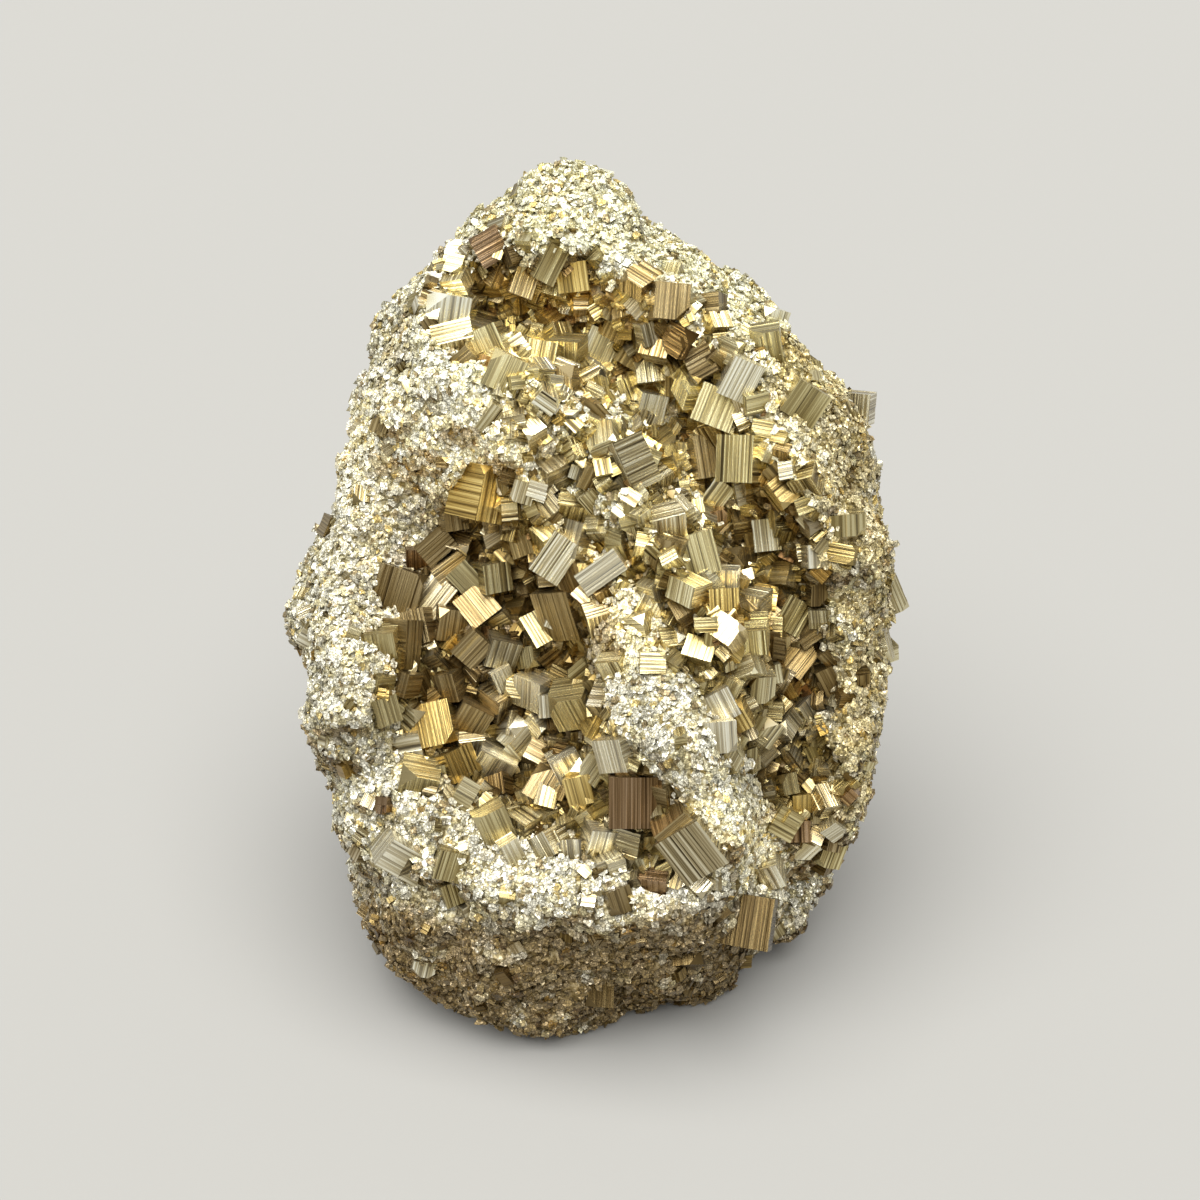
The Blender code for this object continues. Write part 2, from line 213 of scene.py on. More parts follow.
@dataclass(frozen=True)
class Zone(Strip):
    """A strip where cubes crowd the slope (crowding above 0) or hardly any grow (below 0).

    Its path is where the eye sees it against the plane of the slope.
    """

    sharpness: float = 3.0
    crowding: float = 1.0


@dataclass(frozen=True)
class TintedStrip(Strip):
    """A strip that is darker or brighter than the rest, and what multiplies its colour: a darker patch,
    painted shade or painted light.

    Its path is where the eye sees it against the plane of the slope.
    """

    sharpness: float = 3.0
    tint: Tint = (1, 1, 1)


@dataclass(frozen=True)
class Break:
    """A flat face where the stone was broken off: the way it faces and how far out it lies."""

    azimuth: float
    elevation: float
    distance: float


@dataclass(frozen=True)
class Lump:
    """One size of lump: how far apart, how high, and where its pattern starts."""

    spacing: float
    height: float
    start: Vector


SLICES: tuple[Slice, ...] = (
    Slice(-6, -36, 20, -34, 30),
    Slice(0, -41, 28, -41, 36),
    Slice(12, -49, 41, -49, 45),
    Slice(26, -51, 49, -52, 50),
    Slice(40, -53, 54, -51, 53),
    Slice(56, -57, 56, -46, 55),
    Slice(74, -58, 55, -39, 56),
    Slice(92, -52, 55, -29, 54),
    Slice(108, -46, 51, -16, 51),
    Slice(120, -43, 37, -5, 47),
    Slice(130, -37, 23, 4, 42),
    Slice(138, -23, 9, 13, 37),
    Slice(144, -16, 5, 18, 34),
    Slice(148.5, -11, 0, 23, 29),
)
FOLDS: tuple[Fold, ...] = (
    Fold("front basin", 21, ((-27, 7), (-20, 0), (-14, -7), (-18, -16)), 3, rise=-17),
    Fold("basin slope", 14, ((-28, -25), (-7, -28)), rise=-4),
    Fold("long ridge", 10, ((-32, 32), (-14, 22), (0, 7), (10, -11), (20, -29), (28, -43)), rise=8),
    Fold("gutter", 7, ((-7, 23), (-2, 14), (7, 2), (16, -11), (21, -18)), rise=-10),
    Fold("short ridge", 9, ((-32, 48), (-14, 37), (2, 29), (14, 12), (25, 0), (28, -9)), rise=6),
    Fold(
        "back valley",
        9,
        ((-20, 54), (-5, 52), (9, 37), (18, 21), (28, 5), (34, -9), (35, -23), (34, -37), (36, -50)),
        3,
        rise=-17,
    ),
    Fold("hood", 8, ((-23, 60), (-7, 62), (7, 59), (25, 48), (39, 32)), rise=5),
    Fold("left wall", 8, ((-45, 14), (-47, -4), (-45, -21)), rise=4),
    Fold("right undercut", 8, ((30, -68), (46, -62)), rise=-18),
    Fold("lip", 6, ((-43, -46), (-21, -53), (0, -55), (18, -54), (29, -56)), rise=4),
)
ZONES: tuple[Zone, ...] = (
    Zone("basin rim", 9, ((-22, 17), (-32, 6), (-33, -12), (-28, -26), (-13, -36), (4, -42), (16, -46))),
    Zone("basin floor", 13, ((-16, 8), (-10, -8), (-12, -24))),
    Zone("bowl", 10, ((-21, 57), (-10, 53), (6, 50), (18, 44))),
    Zone("valley", 8, ((20, 38), (27, 24), (35, 10), (35, -8), (34, -24), (39, -42))),
    Zone("short ridge", 7, ((9, 24), (20, 12), (28, -3)), crowding=0.75),
    Zone("short ridge top", 7, ((-18, 38), (-8, 33), (7, 26)), crowding=0.4),
    Zone("gutter", 5, ((8, 8), (19, -8), (26, -22)), crowding=0.8),
    Zone("left shoulder", 10, ((-36, 40), (-31, 29), (-40, 16), (-53, -2)), crowding=-1.2),
    Zone("long ridge", 7.5, ((6, -8), (9, -18), (16, -28), (24, -37), (31, -51)), 4, crowding=-1.3),
)
# A tint under 1 darkens: painted shade under the stone, and darker, browner patches in hollows and
# strips. One above 1 is painted light.
UNDER_SHADE_TINT: Tint = (0.5, 0.41, 0.28)
HOLLOW_TINT: Tint = (0.98, 0.96, 0.92)
CROWN_LIGHT_TINT: Tint = (1.12, 1.13, 1.06)
DARKER_STRIPS: tuple[TintedStrip, ...] = (
    # painted shade along the underside
    TintedStrip("underside", 13, ((-50, -69), (-38, -75), (-15, -77), (8, -76), (27, -73)), tint=UNDER_SHADE_TINT),
    TintedStrip("basin", 16, ((-25, 5), (-14, -5), (-17, -23)), tint=(0.6, 0.52, 0.4)),
    TintedStrip(
        "right wall",
        10,
        ((42, 44), (49, 30), (53, 12), (54, -10), (53, -30), (50, -46)),
        tint=(0.92, 0.85, 0.67),
    ),
    TintedStrip("valley floor", 6, ((27, -3), (34, -8), (38, -15)), tint=(0.72, 0.62, 0.47)),
)
# Strips of painted light: they brighten stone that lies in shade, such as under the hood, and draw the
# bright bands of ridges.
PAINTED_LIGHT_STRIPS: tuple[TintedStrip, ...] = (
    TintedStrip("crown", 15, ((-26, 58), (-14, 70), (-8, 82), (4, 74), (18, 62), (34, 50)), tint=CROWN_LIGHT_TINT),
    TintedStrip("bowl", 13, ((-21, 55), (-10, 50), (6, 46), (18, 38), (27, 24)), tint=(2.0, 2.08, 2.16)),
    TintedStrip("under the hood", 6, ((-18, 60), (-5, 60), (8, 58)), tint=(2.8, 2.9, 3.0)),
    TintedStrip("left shoulder", 8, ((-45, 32), (-34, 28), (-24, 28), (-14, 28)), tint=(1.7, 1.7, 1.68)),
    TintedStrip("short ridge", 9, ((-6, 32), (8, 25), (20, 11), (28, -4)), tint=(1.44, 1.48, 1.5)),
    TintedStrip("long ridge crest", 8, ((-25, 21), (-13, 13), (-4, 5), (6, -6)), tint=(1.5, 1.5, 1.47)),
    TintedStrip("right end of the lip", 7, ((24, -46), (32, -50), (39, -50)), tint=(1.5, 1.5, 1.46)),
)
BREAKS: tuple[Break, ...] = (
    Break(176, 12, 44),
    Break(214, 15, 53),
    Break(140, -14, 49),
    Break(252, -10, 56),
    Break(98, 34, 64),
)
LUMPS: tuple[Lump, ...] = (
    Lump(26, 4.0, Vector((0, -0.23, 0))),
    Lump(11, 2.8, Vector((7, 2.45, 1))),
    Lump(5, 1.6, Vector((1, 7.8, 4))),
)


@dataclass
class StoneForm:
    """The stone without its grains and crystals, from the same named values as the solid."""

    slices: tuple[Slice, ...] = SLICES
    folds: tuple[Fold, ...] = FOLDS
    breaks: tuple[Break, ...] = BREAKS
    lumps: tuple[Lump, ...] = LUMPS
    segments: int = 160
    rings: int = 140
    squareness: float = 2.5  # a level with 2 is an ellipse, and more draws its corners out
    fade_start: float = -2  # points this far out of the slope's plane begin to be folded
    fade_length: float = 14  # and are folded in full this much further out
    break_flatness: float = 0.85  # how much of what lies beyond a break is taken off
    break_middle: Vector = field(default_factory=lambda: Vector((0, 6, 60)))

    def reach_at(self, height: float) -> list[float]:
        """How far the body reaches at a height.

        Args:
            height: A height between the lowest and the highest slice, in mm.

        Returns:
            Its left, right, front and back, on smooth curves through the slices.
        """
        last = len(self.slices) - 1
        upper = next((i for i, s in enumerate(self.slices) if s.height >= height), last)
        upper = max(upper, 1)
        low, high = self.slices[upper - 1], self.slices[upper]
        before, after = self.slices[max(upper - 2, 0)], self.slices[min(upper + 1, last)]
        t = (height - low.height) / (high.height - low.height)
        reach = []
        for side in ("left", "right", "front", "back"):
            a, b, c, d = (getattr(s, side) for s in (before, low, high, after))
            curve = (2 * a - 5 * b + 4 * c - d) * t**2 + (3 * b - a - 3 * c + d) * t**3
            reach.append(0.5 * (2 * b + (c - a) * t + curve))
        return reach

    def relief(self, points: FloatArray) -> FloatArray:
        """How far the folds push points of the body outward.

        Args:
            points: The points, in mm, n by 3.

        Returns:
            One height for each point, in mm, below 0 in a hollow.
        """
        on_slope = (points - np.array(SLOPE_MIDDLE)) @ np.array(SLOPE_AXES)
        across_and_up, outward = on_slope[:, [0, 2]], -on_slope[:, 1]
        fade = smooth_step((outward - self.fade_start) / self.fade_length)
        return fade * sum(fold.rise * fold.strengths(across_and_up) for fold in self.folds)

    def broken_off(self, point: Vector) -> Vector:
        """A point of the body once the breaks are made.

        Args:
            point: The point before, in mm.

        Returns:
            The same point, or one moved back nearly to the break that it lay beyond.
        """
        for face in self.breaks:
            facing = direction(face.azimuth, face.elevation)
            beyond = (point - self.break_middle).dot(facing) - face.distance
            if beyond > 0:
                point = point - facing * beyond * self.break_flatness
        return point

    def lumpiness(self, point: Vector) -> float:
        """How far the lumps lift a point along its normal, in mm."""
        return sum(noise.noise(point / lump.spacing + lump.start) * lump.height for lump in self.lumps)

    def build(self) -> bmesh.types.BMesh:
        """Draws a sphere out to the slices, then folds, breaks and roughens it.

        Returns:
            The closed body, in mm.
        """
        bm = bmesh.new()
        bmesh.ops.create_uvsphere(bm, u_segments=self.segments, v_segments=self.rings, radius=1)
        bottom, top = self.slices[0].height, self.slices[-1].height
        for vert in bm.verts:
            way = vert.co.normalized()
            height = top - (top - bottom) * math.acos(min(max(way.z, -1), 1)) / math.pi
            left, right, front, back = self.reach_at(height)
            level = Vector((way.x, way.y))
            if level.length > TINY:
                level.normalize()
                power = self.squareness
                level /= (abs(level.x) ** power + abs(level.y) ** power) ** (1 / power)
            vert.co = (
                (left + right) / 2 + level.x * (right - left) / 2,
                (front + back) / 2 + level.y * (back - front) / 2,
                height,
            )
        relief = self.relief(np.array([vert.co for vert in bm.verts]))
        for vert, rise in zip(bm.verts, relief):
            vert.co = self.broken_off(vert.co + OUTWARD * float(rise))
        bm.normal_update()
        for vert in bm.verts:
            vert.co += vert.normal * self.lumpiness(vert.co)
        bmesh.ops.recalc_face_normals(bm, faces=bm.faces)
        return bm


# How crowded the stone is at a place, and its darker patches, painted shade and painted light


def seen_on_slope(places: FloatArray) -> FloatArray:
    """Where the eye sees places against the plane of the slope: across and up, in mm."""
    on_slope = (places - np.array(SLOPE_MIDDLE)) @ np.array(SLOPE_AXES)
    return on_slope[:, [0, 2]] * (EYE_DISTANCE / (EYE_DISTANCE + on_slope[:, 1]))[:, None]


def painted_light_at(places: FloatArray) -> FloatArray:
    """How much the strips of painted light brighten some places, n by 3."""
    seen = seen_on_slope(places)
    return np.max([1 + s.strengths(seen)[:, None] * (np.array(s.tint) - 1) for s in PAINTED_LIGHT_STRIPS], axis=0)


@dataclass
class Sites:
    """Places on the stone, in mm, and its normals there, both n by 3."""

    places: FloatArray
    normals: FloatArray
    form: StoneForm

    @classmethod
    def of(cls, bm: bmesh.types.BMesh, form: StoneForm) -> "Sites":
        """The sites at all points of a bmesh."""
        normals = np.array([vert.normal for vert in bm.verts])
        return cls(np.array([vert.co for vert in bm.verts]), normals, form)

    @classmethod
    def on(cls, mass: bpy.types.Object, form: StoneForm) -> "Sites":
        """The sites where something can grow.

        Args:
            mass: The rough mass.
            form: The stone's form.

        Returns:
            One site at each point of the mass, off the floor.
        """
        points = mass.data.vertices
        places, normals = np.empty(len(points) * 3), np.empty(len(points) * 3)
        points.foreach_get("co", places)
        points.foreach_get("normal", normals)
        places, normals = places.reshape(-1, 3) / MM, normals.reshape(-1, 3)
        keep = places[:, 2] > SITE_FLOOR
        return cls(places[keep], normals[keep], form)

    @cached_property
    def facing(self) -> FloatArray:
        """How far each normal points at the eye, from -1 to 1."""
        toward_eye = np.array(SLOPE_MIDDLE + OUTWARD * EYE_DISTANCE) - self.places
        toward_eye /= np.linalg.norm(toward_eye, axis=1)[:, None]
        return (self.normals * toward_eye).sum(axis=1)

    @cached_property
    def crowding(self) -> FloatArray:
        """How crowded with cubes each site is.

        Returns:
            From 0, hardly any, to 1, as many as find room.
        """
        seen = seen_on_slope(self.places)
        crowded, bare = np.zeros(len(seen)), np.zeros(len(seen))
        for zone in ZONES:
            strengths = zone.strengths(seen) * zone.crowding
            crowded, bare = np.maximum(crowded, strengths), np.minimum(bare, strengths)
        turned = smooth_step((self.facing - CROWDED_FROM) / (CROWDED_FULL - CROWDED_FROM))
        return np.clip(crowded + bare, 0, 1) * turned

    @cached_property
    def tints(self) -> FloatArray:
        """What multiplies the colour at each site.

        Returns:
            Red, green and blue: under 1 where painted shade or a darker patch dims it, over 1 under
                painted light.
        """
        seen = seen_on_slope(self.places)
        patches = np.array([noise.noise(Vector(place) / RAGGED_PATCH) for place in self.places])
        ragged = 1 + patches * RAGGEDNESS
        shares = [
            (smooth_step(-self.form.relief(self.places) / HOLLOW_DEPTH), HOLLOW_TINT),
            # painted shade where the stone faces down
            (smooth_step(OVERHANG_START - self.normals[:, 2] * OVERHANG_GROWTH), UNDER_SHADE_TINT),
        ]
        # the underside strip is painted shade; the others are darker, browner patches
        for stain in DARKER_STRIPS:
            share = smooth_step(stain.strengths(seen) * ragged) * (self.facing > 0)
            shares.append((share, stain.tint))
        dimmed = [1 - share[:, None] * (1 - np.array(tint)) for share, tint in shares]
        # then painted light from the bright strips
        return np.min(dimmed, axis=0) * painted_light_at(self.places)


# Small closed shapes, and heaps of them joined in one mesh


def cut_off(bm: bmesh.types.BMesh, place: Vector, facing: Vector) -> None:
    """Cuts off what lies beyond a plane, and closes the cut with a face.

    Args:
        bm: A closed mesh.
        place: A point of the plane.
        facing: The way the plane faces, away from what is kept.
    """
    cut = bmesh.ops.bisect_plane(
        bm, geom=[*bm.verts, *bm.edges, *bm.faces], plane_co=place, plane_no=facing, clear_outer=True
    )
    rim = [edge for edge in cut["geom_cut"] if isinstance(edge, bmesh.types.BMEdge)]
    bmesh.ops.holes_fill(bm, edges=rim)


@dataclass
class Shape:
    """A small closed mesh as arrays, in mm about its own middle.

    Points are n by 3, faces are m by 3 point numbers, and uvs are m by 3 by 2.
    """

    points: FloatArray
    faces: FloatArray
    uvs: FloatArray

    @classmethod
    def of(cls, bm: bmesh.types.BMesh) -> "Shape":
        """Takes a shape from a bmesh.

        Args:
            bm: The closed mesh, in mm, which is freed.

        Returns:
            The shape, in triangles.
        """
        bmesh.ops.triangulate(bm, faces=bm.faces)
        bm.verts.index_update()
        layer = bm.loops.layers.uv.verify()
        points = np.array([vert.co for vert in bm.verts])
        faces = np.array([[vert.index for vert in face.verts] for face in bm.faces])
        uvs = np.array([[loop[layer].uv for loop in face.loops] for face in bm.faces])
        bm.free()
        return cls(points, faces, uvs)


@dataclass
class Heap:
    """Many small closed shapes that end as one mesh."""

    name: str
    points: list[FloatArray] = field(default_factory=list)
    faces: list[FloatArray] = field(default_factory=list)
    uvs: list[FloatArray] = field(default_factory=list)
    tones: list[FloatArray] = field(default_factory=list)
    count: int = 0

    def add(self, shape: Shape, turns: FloatArray, seats: FloatArray, tones: FloatArray) -> None:
        """Puts copies of one shape on the heap.

        Args:
            shape: The shape to copy.
            turns: One 3 by 3 matrix a copy, which may hold a scale.
            seats: Where the middle of each copy goes, in mm.
            tones: The linear colour of each copy, as red, green, blue and alpha.
        """
        copies, size = len(seats), len(shape.points)
        placed = np.einsum("kij,nj->kni", turns, shape.points) + seats[:, None, :]
        starts = self.count + size * np.arange(copies)
        shift = np.random.default_rng(self.count).uniform(0, UV_SPREAD, (copies, 1, 1, 2))
        self.points.append(placed.reshape(-1, 3))
        self.faces.append((shape.faces[None] + starts[:, None, None]).reshape(-1, 3))
        self.uvs.append((shape.uvs[None] + shift).reshape(-1, 2))
        self.tones.append(np.repeat(tones, size, axis=0))
        self.count += copies * size

    def shade_near_ground(self, surface: BVHTree) -> None:
        """Darkens each point that lies near the ground or under it: painted shade where the crystals
        meet the ground.

        Args:
            surface: The ground, in mm.
        """
        points = [Vector(point) for point in np.concatenate(self.points)]
        nearest = [surface.find_nearest(point)[:2] for point in points]
        heights = [(point - foot).dot(up) for point, (foot, up) in zip(points, nearest)]
        # clean is the share of each point's colour that the painted shade leaves
        clean = smooth_step(np.array(heights) / PAINTED_SHADE_REACH)[:, None]
        tones = np.concatenate(self.tones)
        tones[:, :3] *= PAINTED_SHADE_TINT + (1 - PAINTED_SHADE_TINT) * clean
        self.tones = [tones]

    def to_object(self, material: bpy.types.Material) -> bpy.types.Object:
        """Joins the heap in one mesh, with its UVs and a tone on each point.

        Args:
            material: Its finish.

        Returns:
            The piece, in metres.
        """
        points = np.concatenate(self.points) * MM
        points[:, 2] = np.maximum(points[:, 2], 0)
        mesh = bpy.data.meshes.new(self.name)
        mesh.from_pydata(points, [], np.concatenate(self.faces))
        layer = mesh.uv_layers.new(name=STRIATION_UV)
        layer.data.foreach_set("uv", np.concatenate(self.uvs).ravel())
        tint_points(mesh, np.concatenate(self.tones))
        mesh.validate()
        mesh.shade_flat()
        mesh.materials.append(material)
        return finished(mesh)


def tint_points(mesh: bpy.types.Mesh, colours: FloatArray) -> None:
    """Keeps a linear colour and a line strength on each point, where the finishes read them."""
    tones = mesh.attributes.new(TONE_ATTRIBUTE, "FLOAT_COLOR", "POINT")
    tones.data.foreach_set("color", held(colours).ravel())


def finished(mesh: bpy.types.Mesh) -> bpy.types.Object:
    """Puts a mesh in the scene, at the origin.

    Args:
        mesh: The mesh.

    Returns:
        Its object, which has its name.
    """
    piece = bpy.data.objects.new(mesh.name, mesh)
    bpy.context.scene.collection.objects.link(piece)
    return piece


def claim(piece: bpy.types.Object) -> None:
    """Lets a piece ride on the stone's body and stand for the solid, which is hidden.

    Args:
        piece: The finished piece.
    """
    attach(piece, BODY)
    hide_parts(NODE)
    LOG.info("%s: %d triangles", piece.name, sum(len(p.vertices) - 2 for p in piece.data.polygons))


# Striated cubes


@dataclass
class Crowd:
    """The cubes that stand so far, as rows of x, y, z and width, in mm."""

    seats: FloatArray = field(default_factory=lambda: np.empty((0, 4)))

    def settle(self, places: FloatArray, widths: FloatArray, closeness: float) -> FloatArray:
        """Seats cubes one after another where there is still room.

        Args:
            places: Where the cubes would stand, n by 3.
            widths: How wide each of them is.
            closeness: How near two may stand, as a share of the mean of their widths.

        Returns:
            The numbers of the cubes that found room.
        """
        count, found = len(self.seats), []
        wanted = np.column_stack([places, widths])
        rows = np.concatenate([self.seats, wanted])
        for number, row in enumerate(wanted):
            others = rows[:count]
            away = np.linalg.norm(others[:, :3] - row[:3], axis=1)
            if (away > closeness * (others[:, 3] + row[3]) / 2).all():
                rows[count] = row
                count += 1
                found.append(number)
        self.seats = rows[:count]
        return np.array(found, dtype=int)


@dataclass(frozen=True)
class Striation:
    """How one cube face is stepped: flats of the cube between short slopes of the pyritohedron."""

    flats: Span = (0.7, 2.4)
    slopes: Span = (0.06, 0.14)
    deepest: float = 0.1
    gradient: float = 0.5  # the pyritohedron's face leans 26.6 degrees from the cube's

    def profile(self, length: float, rng: random.Random) -> list[tuple[float, float]]:
        """Where a face is cut along its length, and how deep each cut lies.

        Args:
            length: The face's size across its striations, in mm.
            rng: The crystal's own random draws.

        Returns:
            Pairs of a place, from the middle of the face, and a depth. Both ends are at 0.
        """
        cuts = []
        at, depth = -length / 2 + rng.uniform(*self.flats), 0.0
        while True:
            width = rng.uniform(*self.slopes)
            sinks = depth < TINY or (rng.random() < 0.5 and depth + width / 2 < self.deepest)
            change = width * self.gradient if sinks else -min(depth, width * self.gradient)
            room = length / 2 - self.flats[0] - at - width
            if room < (depth + max(change, 0)) / self.gradient:
                break
            cuts += [(at, depth), (at + width, depth + change)]
            depth += change
            at += width + rng.uniform(*self.flats)
        if depth > TINY:
            end = min(at, length / 2 - self.flats[0] - depth / self.gradient)
            cuts += [(end, depth), (end + depth / self.gradient, 0.0)]
        return cuts


@dataclass(frozen=True)
class CubeShape:
    """One pyrite cube: its size, its striations, and how many corners are cut and how far in.

    The lines run along Y on the faces at the ends of X, along Z on those of Y and along X on
    those of Z, so that they are square to each other round every corner, as pyrite's are.
    """

    size: Vector
    striation: Striation | None = Striation()
    corners_cut: tuple[int, int] = (0, 2)
    corner_bite: Span = (0.12, 0.34)
    squareness: float = 0.85  # a face whose normal has no part this long on an axis is a cut

    def build(self, rng: random.Random, detail: random.Random) -> Shape:
        """Cuts, steps and trims the cube.

        Args:
            rng: The random draws that the solid makes too, for the corners.
            detail: Draws of this scene's own, for the striations.

        Returns:
            The closed crystal, with UVs in mm whose U runs across the striations.
        """
        bm = bmesh.new()
        bmesh.ops.create_cube(bm, size=1)
        bmesh.ops.scale(bm, vec=self.size, verts=bm.verts)
        corners = rng.sample([(x, y, z) for x in (-1, 1) for y in (-1, 1) for z in (-1, 1)], 8)
        bites = [
            (Vector(corner), rng.uniform(*self.corner_bite))
            for corner in corners[: rng.randint(*self.corners_cut)]
        ]
        if self.striation:
            self.step_faces(bm, detail)
        for corner, bite in bites:
            cut_off(bm, corner * self.size / 2 * (1 - bite), corner.normalized())
        bmesh.ops.recalc_face_normals(bm, faces=bm.faces)
        self.lay_uvs(bm)
        return Shape.of(bm)

    def step_faces(self, bm: bmesh.types.BMesh, rng: random.Random) -> None:
        """Cuts every face into strips, then sinks the cuts to their depths.

        Args:
            bm: The plain cube.
            rng: The random draws for the strips.
        """
        sunk = []
        for axis, side in ((axis, side) for axis in range(3) for side in (-1, 1)):
            across = (axis + 2) % 3
            place = Vector((0, 0, 0))
            normal = Vector((0, 0, 0))
            normal[across] = 1
            limit = self.size[axis] / 2 - FACE_SLACK
            for at, depth in self.striation.profile(self.size[across], rng):
                faces = [f for f in bm.faces if f.calc_center_median()[axis] * side > limit]
                edges = {edge for face in faces for edge in face.edges}
                verts = {vert for face in faces for vert in face.verts}
                place[across] = at
                cut = bmesh.ops.bisect_plane(
                    bm, geom=[*faces, *edges, *verts], plane_co=place, plane_no=normal
                )
                if depth:
                    line = [v for v in cut["geom_cut"] if isinstance(v, bmesh.types.BMVert)]
                    sunk += [(vert, axis, side * depth) for vert in line]
        for vert, axis, depth in sunk:
            vert.co[axis] -= depth

    def lay_uvs(self, bm: bmesh.types.BMesh) -> None:
        """Lays U across each face's striations and V along them. A cut corner has none.

        Args:
            bm: The cube, in mm.
        """
        layer = bm.loops.layers.uv.verify()
        for face in bm.faces:
            leading = max(range(3), key=lambda axis: abs(face.normal[axis]))
            striated = abs(face.normal[leading]) > self.squareness
            across, along = (leading + 2) % 3, (leading + 1) % 3
            for loop in face.loops:
                point = loop.vert.co
                loop[layer].uv = (point[across] if striated else 0, point[along])


@dataclass(frozen=True)
class PlacedCube:
    """A cube on the slope: its place, its width and height, its turns in degrees and its tone.

    Roll turns it in the slope, yaw about the line up the slope, pitch about the line across.
    """

    across: float
    up: float
    wide: float
    tall: float
    roll: float
    yaw: float
    pitch: float
    tone: Tone

    @property
    def turn(self) -> Matrix:
        """How the cube is turned.

        Returns:
            The axes across, into the stone and up the slope, turned by roll, yaw and pitch.
        """
        return (
            SLOPE_AXES
            @ Matrix.Rotation(math.radians(-self.roll), 3, "Y")
            @ Matrix.Rotation(math.radians(self.yaw), 3, "Z")
            @ Matrix.Rotation(math.radians(self.pitch), 3, "X")
        )


def placed(*rows: tuple[float | Tone, ...]) -> tuple[PlacedCube, ...]:
    """Cubes from rows of across, up, wide, tall, roll, yaw, pitch and tone."""
    return tuple(PlacedCube(*row) for row in rows)


@dataclass(frozen=True)
class Pocket:
    """A patch of cubes placed by chance: its middle and reach, seen from a direction."""

    azimuth: float
    height: float
    reach: float
    count: int
    smallest: float
    largest: float


FRONT_CUBES = placed(
    (-21.5, 19.5, 8, 10, -8, 45, 5, Tone.GOLD),
    (-37, 1.5, 9, 9, -18, -8, 5, Tone.BROWN),
    (-34, 8.5, 5.5, 4, 4, 10, 25, Tone.BRONZE),
    (-30, 10.5, 5, 7, -50, 0, 15, Tone.BROWN),
    (-27.5, 16, 4.5, 6, 10, 20, 10, Tone.BROWN),
    (-28, 5.5, 6, 7, -55, 15, -10, Tone.BROWN),
    (-24.5, 4.5, 5, 6, 40, -15, 10, Tone.OLIVE),
    (-20, 4.5, 5.5, 5.5, 12, 25, 15, Tone.OLIVE),
    (-30.5, 0.5, 6, 7, -38, -10, 0, Tone.GREY),
    (-23, -1.5, 6.5, 6.5, 38, 10, -5, Tone.BROWN),
    (-28, -4, 5.5, 6, -5, 20, 15, Tone.BROWN),
    (-33, -5, 5, 6.5, 15, -20, -5, Tone.BROWN),
    (-36.5, -8, 4, 9, -4, 50, 0, Tone.BROWN),
    (-39.5, -7.5, 6, 5, 5, -10, 20, Tone.OLIVE),
    (-23.5, -8.5, 5.5, 6, -42, 10, 10, Tone.BROWN),
    (-18.5, -9, 6, 5.5, -12, 20, 20, Tone.GREY),
    (-6, -1.5, 8.5, 9.5, 3, -38, 22, Tone.BROWN),
    (-12, -6, 4.5, 6.5, 28, 20, -10, Tone.OLIVE),
    (-8, 8.5, 6, 8.5, -32, 12, 15, Tone.PALE),
    (-4, 11, 5, 6.5, -20, -35, 10, Tone.GREY),
    (1, 5.5, 4.5, 9, -55, 0, 20, Tone.PALE),
    (-28, -15.5, 6, 5.5, 8, -25, 15, Tone.BROWN),
    (-31, -23, 9, 8, 13, -6, -4, Tone.GOLD),
    (-24, -21.5, 6.5, 6.5, -28, 12, 20, Tone.BROWN),
    (-24.5, -26, 5, 4, 5, 20, 45, Tone.PALE),
    (-20, -30.5, 7.5, 7, -27, 10, 25, Tone.PALE),
    (-12, -16.5, 6, 6, -20, -30, 30, Tone.PALE),
    (-15, -24.5, 6, 6, -38, 10, 15, Tone.PALE),
    (-4.5, -18.5, 7.5, 7, 10, -25, 35, Tone.OLIVE),
    (-0.5, -21.5, 3.5, 6, -25, 20, 10, Tone.GOLD),
    (-6, -30.5, 5.5, 6.5, 27, 5, 20, Tone.PALE),
    (-3, -35, 5, 7.5, 14, -12, 5, Tone.GOLD),
    (6, -35, 9.2, 9, 0, 2, 4, Tone.BRONZE),
    (-10, -34, 6, 6.5, -30, -5, -5, Tone.BROWN),
    (3.5, -26.5, 6.5, 6, 8, -42, 10, Tone.PALE),
    (16.5, -42, 9, 9.5, 33, -20, 12, Tone.GREY),
    (13, -38.5, 5, 7, -42, 25, 15, Tone.BROWN),
    (-19.5, -40, 6, 6.5, 25, 10, 20, Tone.OLIVE),
    (-16, -45, 3.5, 6, 30, 15, 25, Tone.PALE),
    (-0.5, -42.5, 5, 6, -8, 20, 20, Tone.PALE),
    (-36, -46, 6, 9, 52, -8, 25, Tone.PALE),
    (-27, -47, 5.5, 5.5, -15, 15, 10, Tone.OLIVE),
    (9.5, -49.5, 5.5, 5, -4, -12, 35, Tone.BRONZE),
    (3, -52.5, 4.5, 4.5, 20, 20, 5, Tone.BROWN),
    (-33, -32.5, 7, 6, -12, 10, 35, Tone.OLIVE),
    (-39.5, -20, 5, 5, 20, 30, 10, Tone.OLIVE),
    (-35.5, -15, 4.5, 4.5, -20, -30, 10, Tone.BROWN),
    (-18.5, -14, 4, 4.5, 30, 15, 30, Tone.PALE),
    (-13, -10.5, 4, 4, 10, -30, 0, Tone.OLIVE),
)
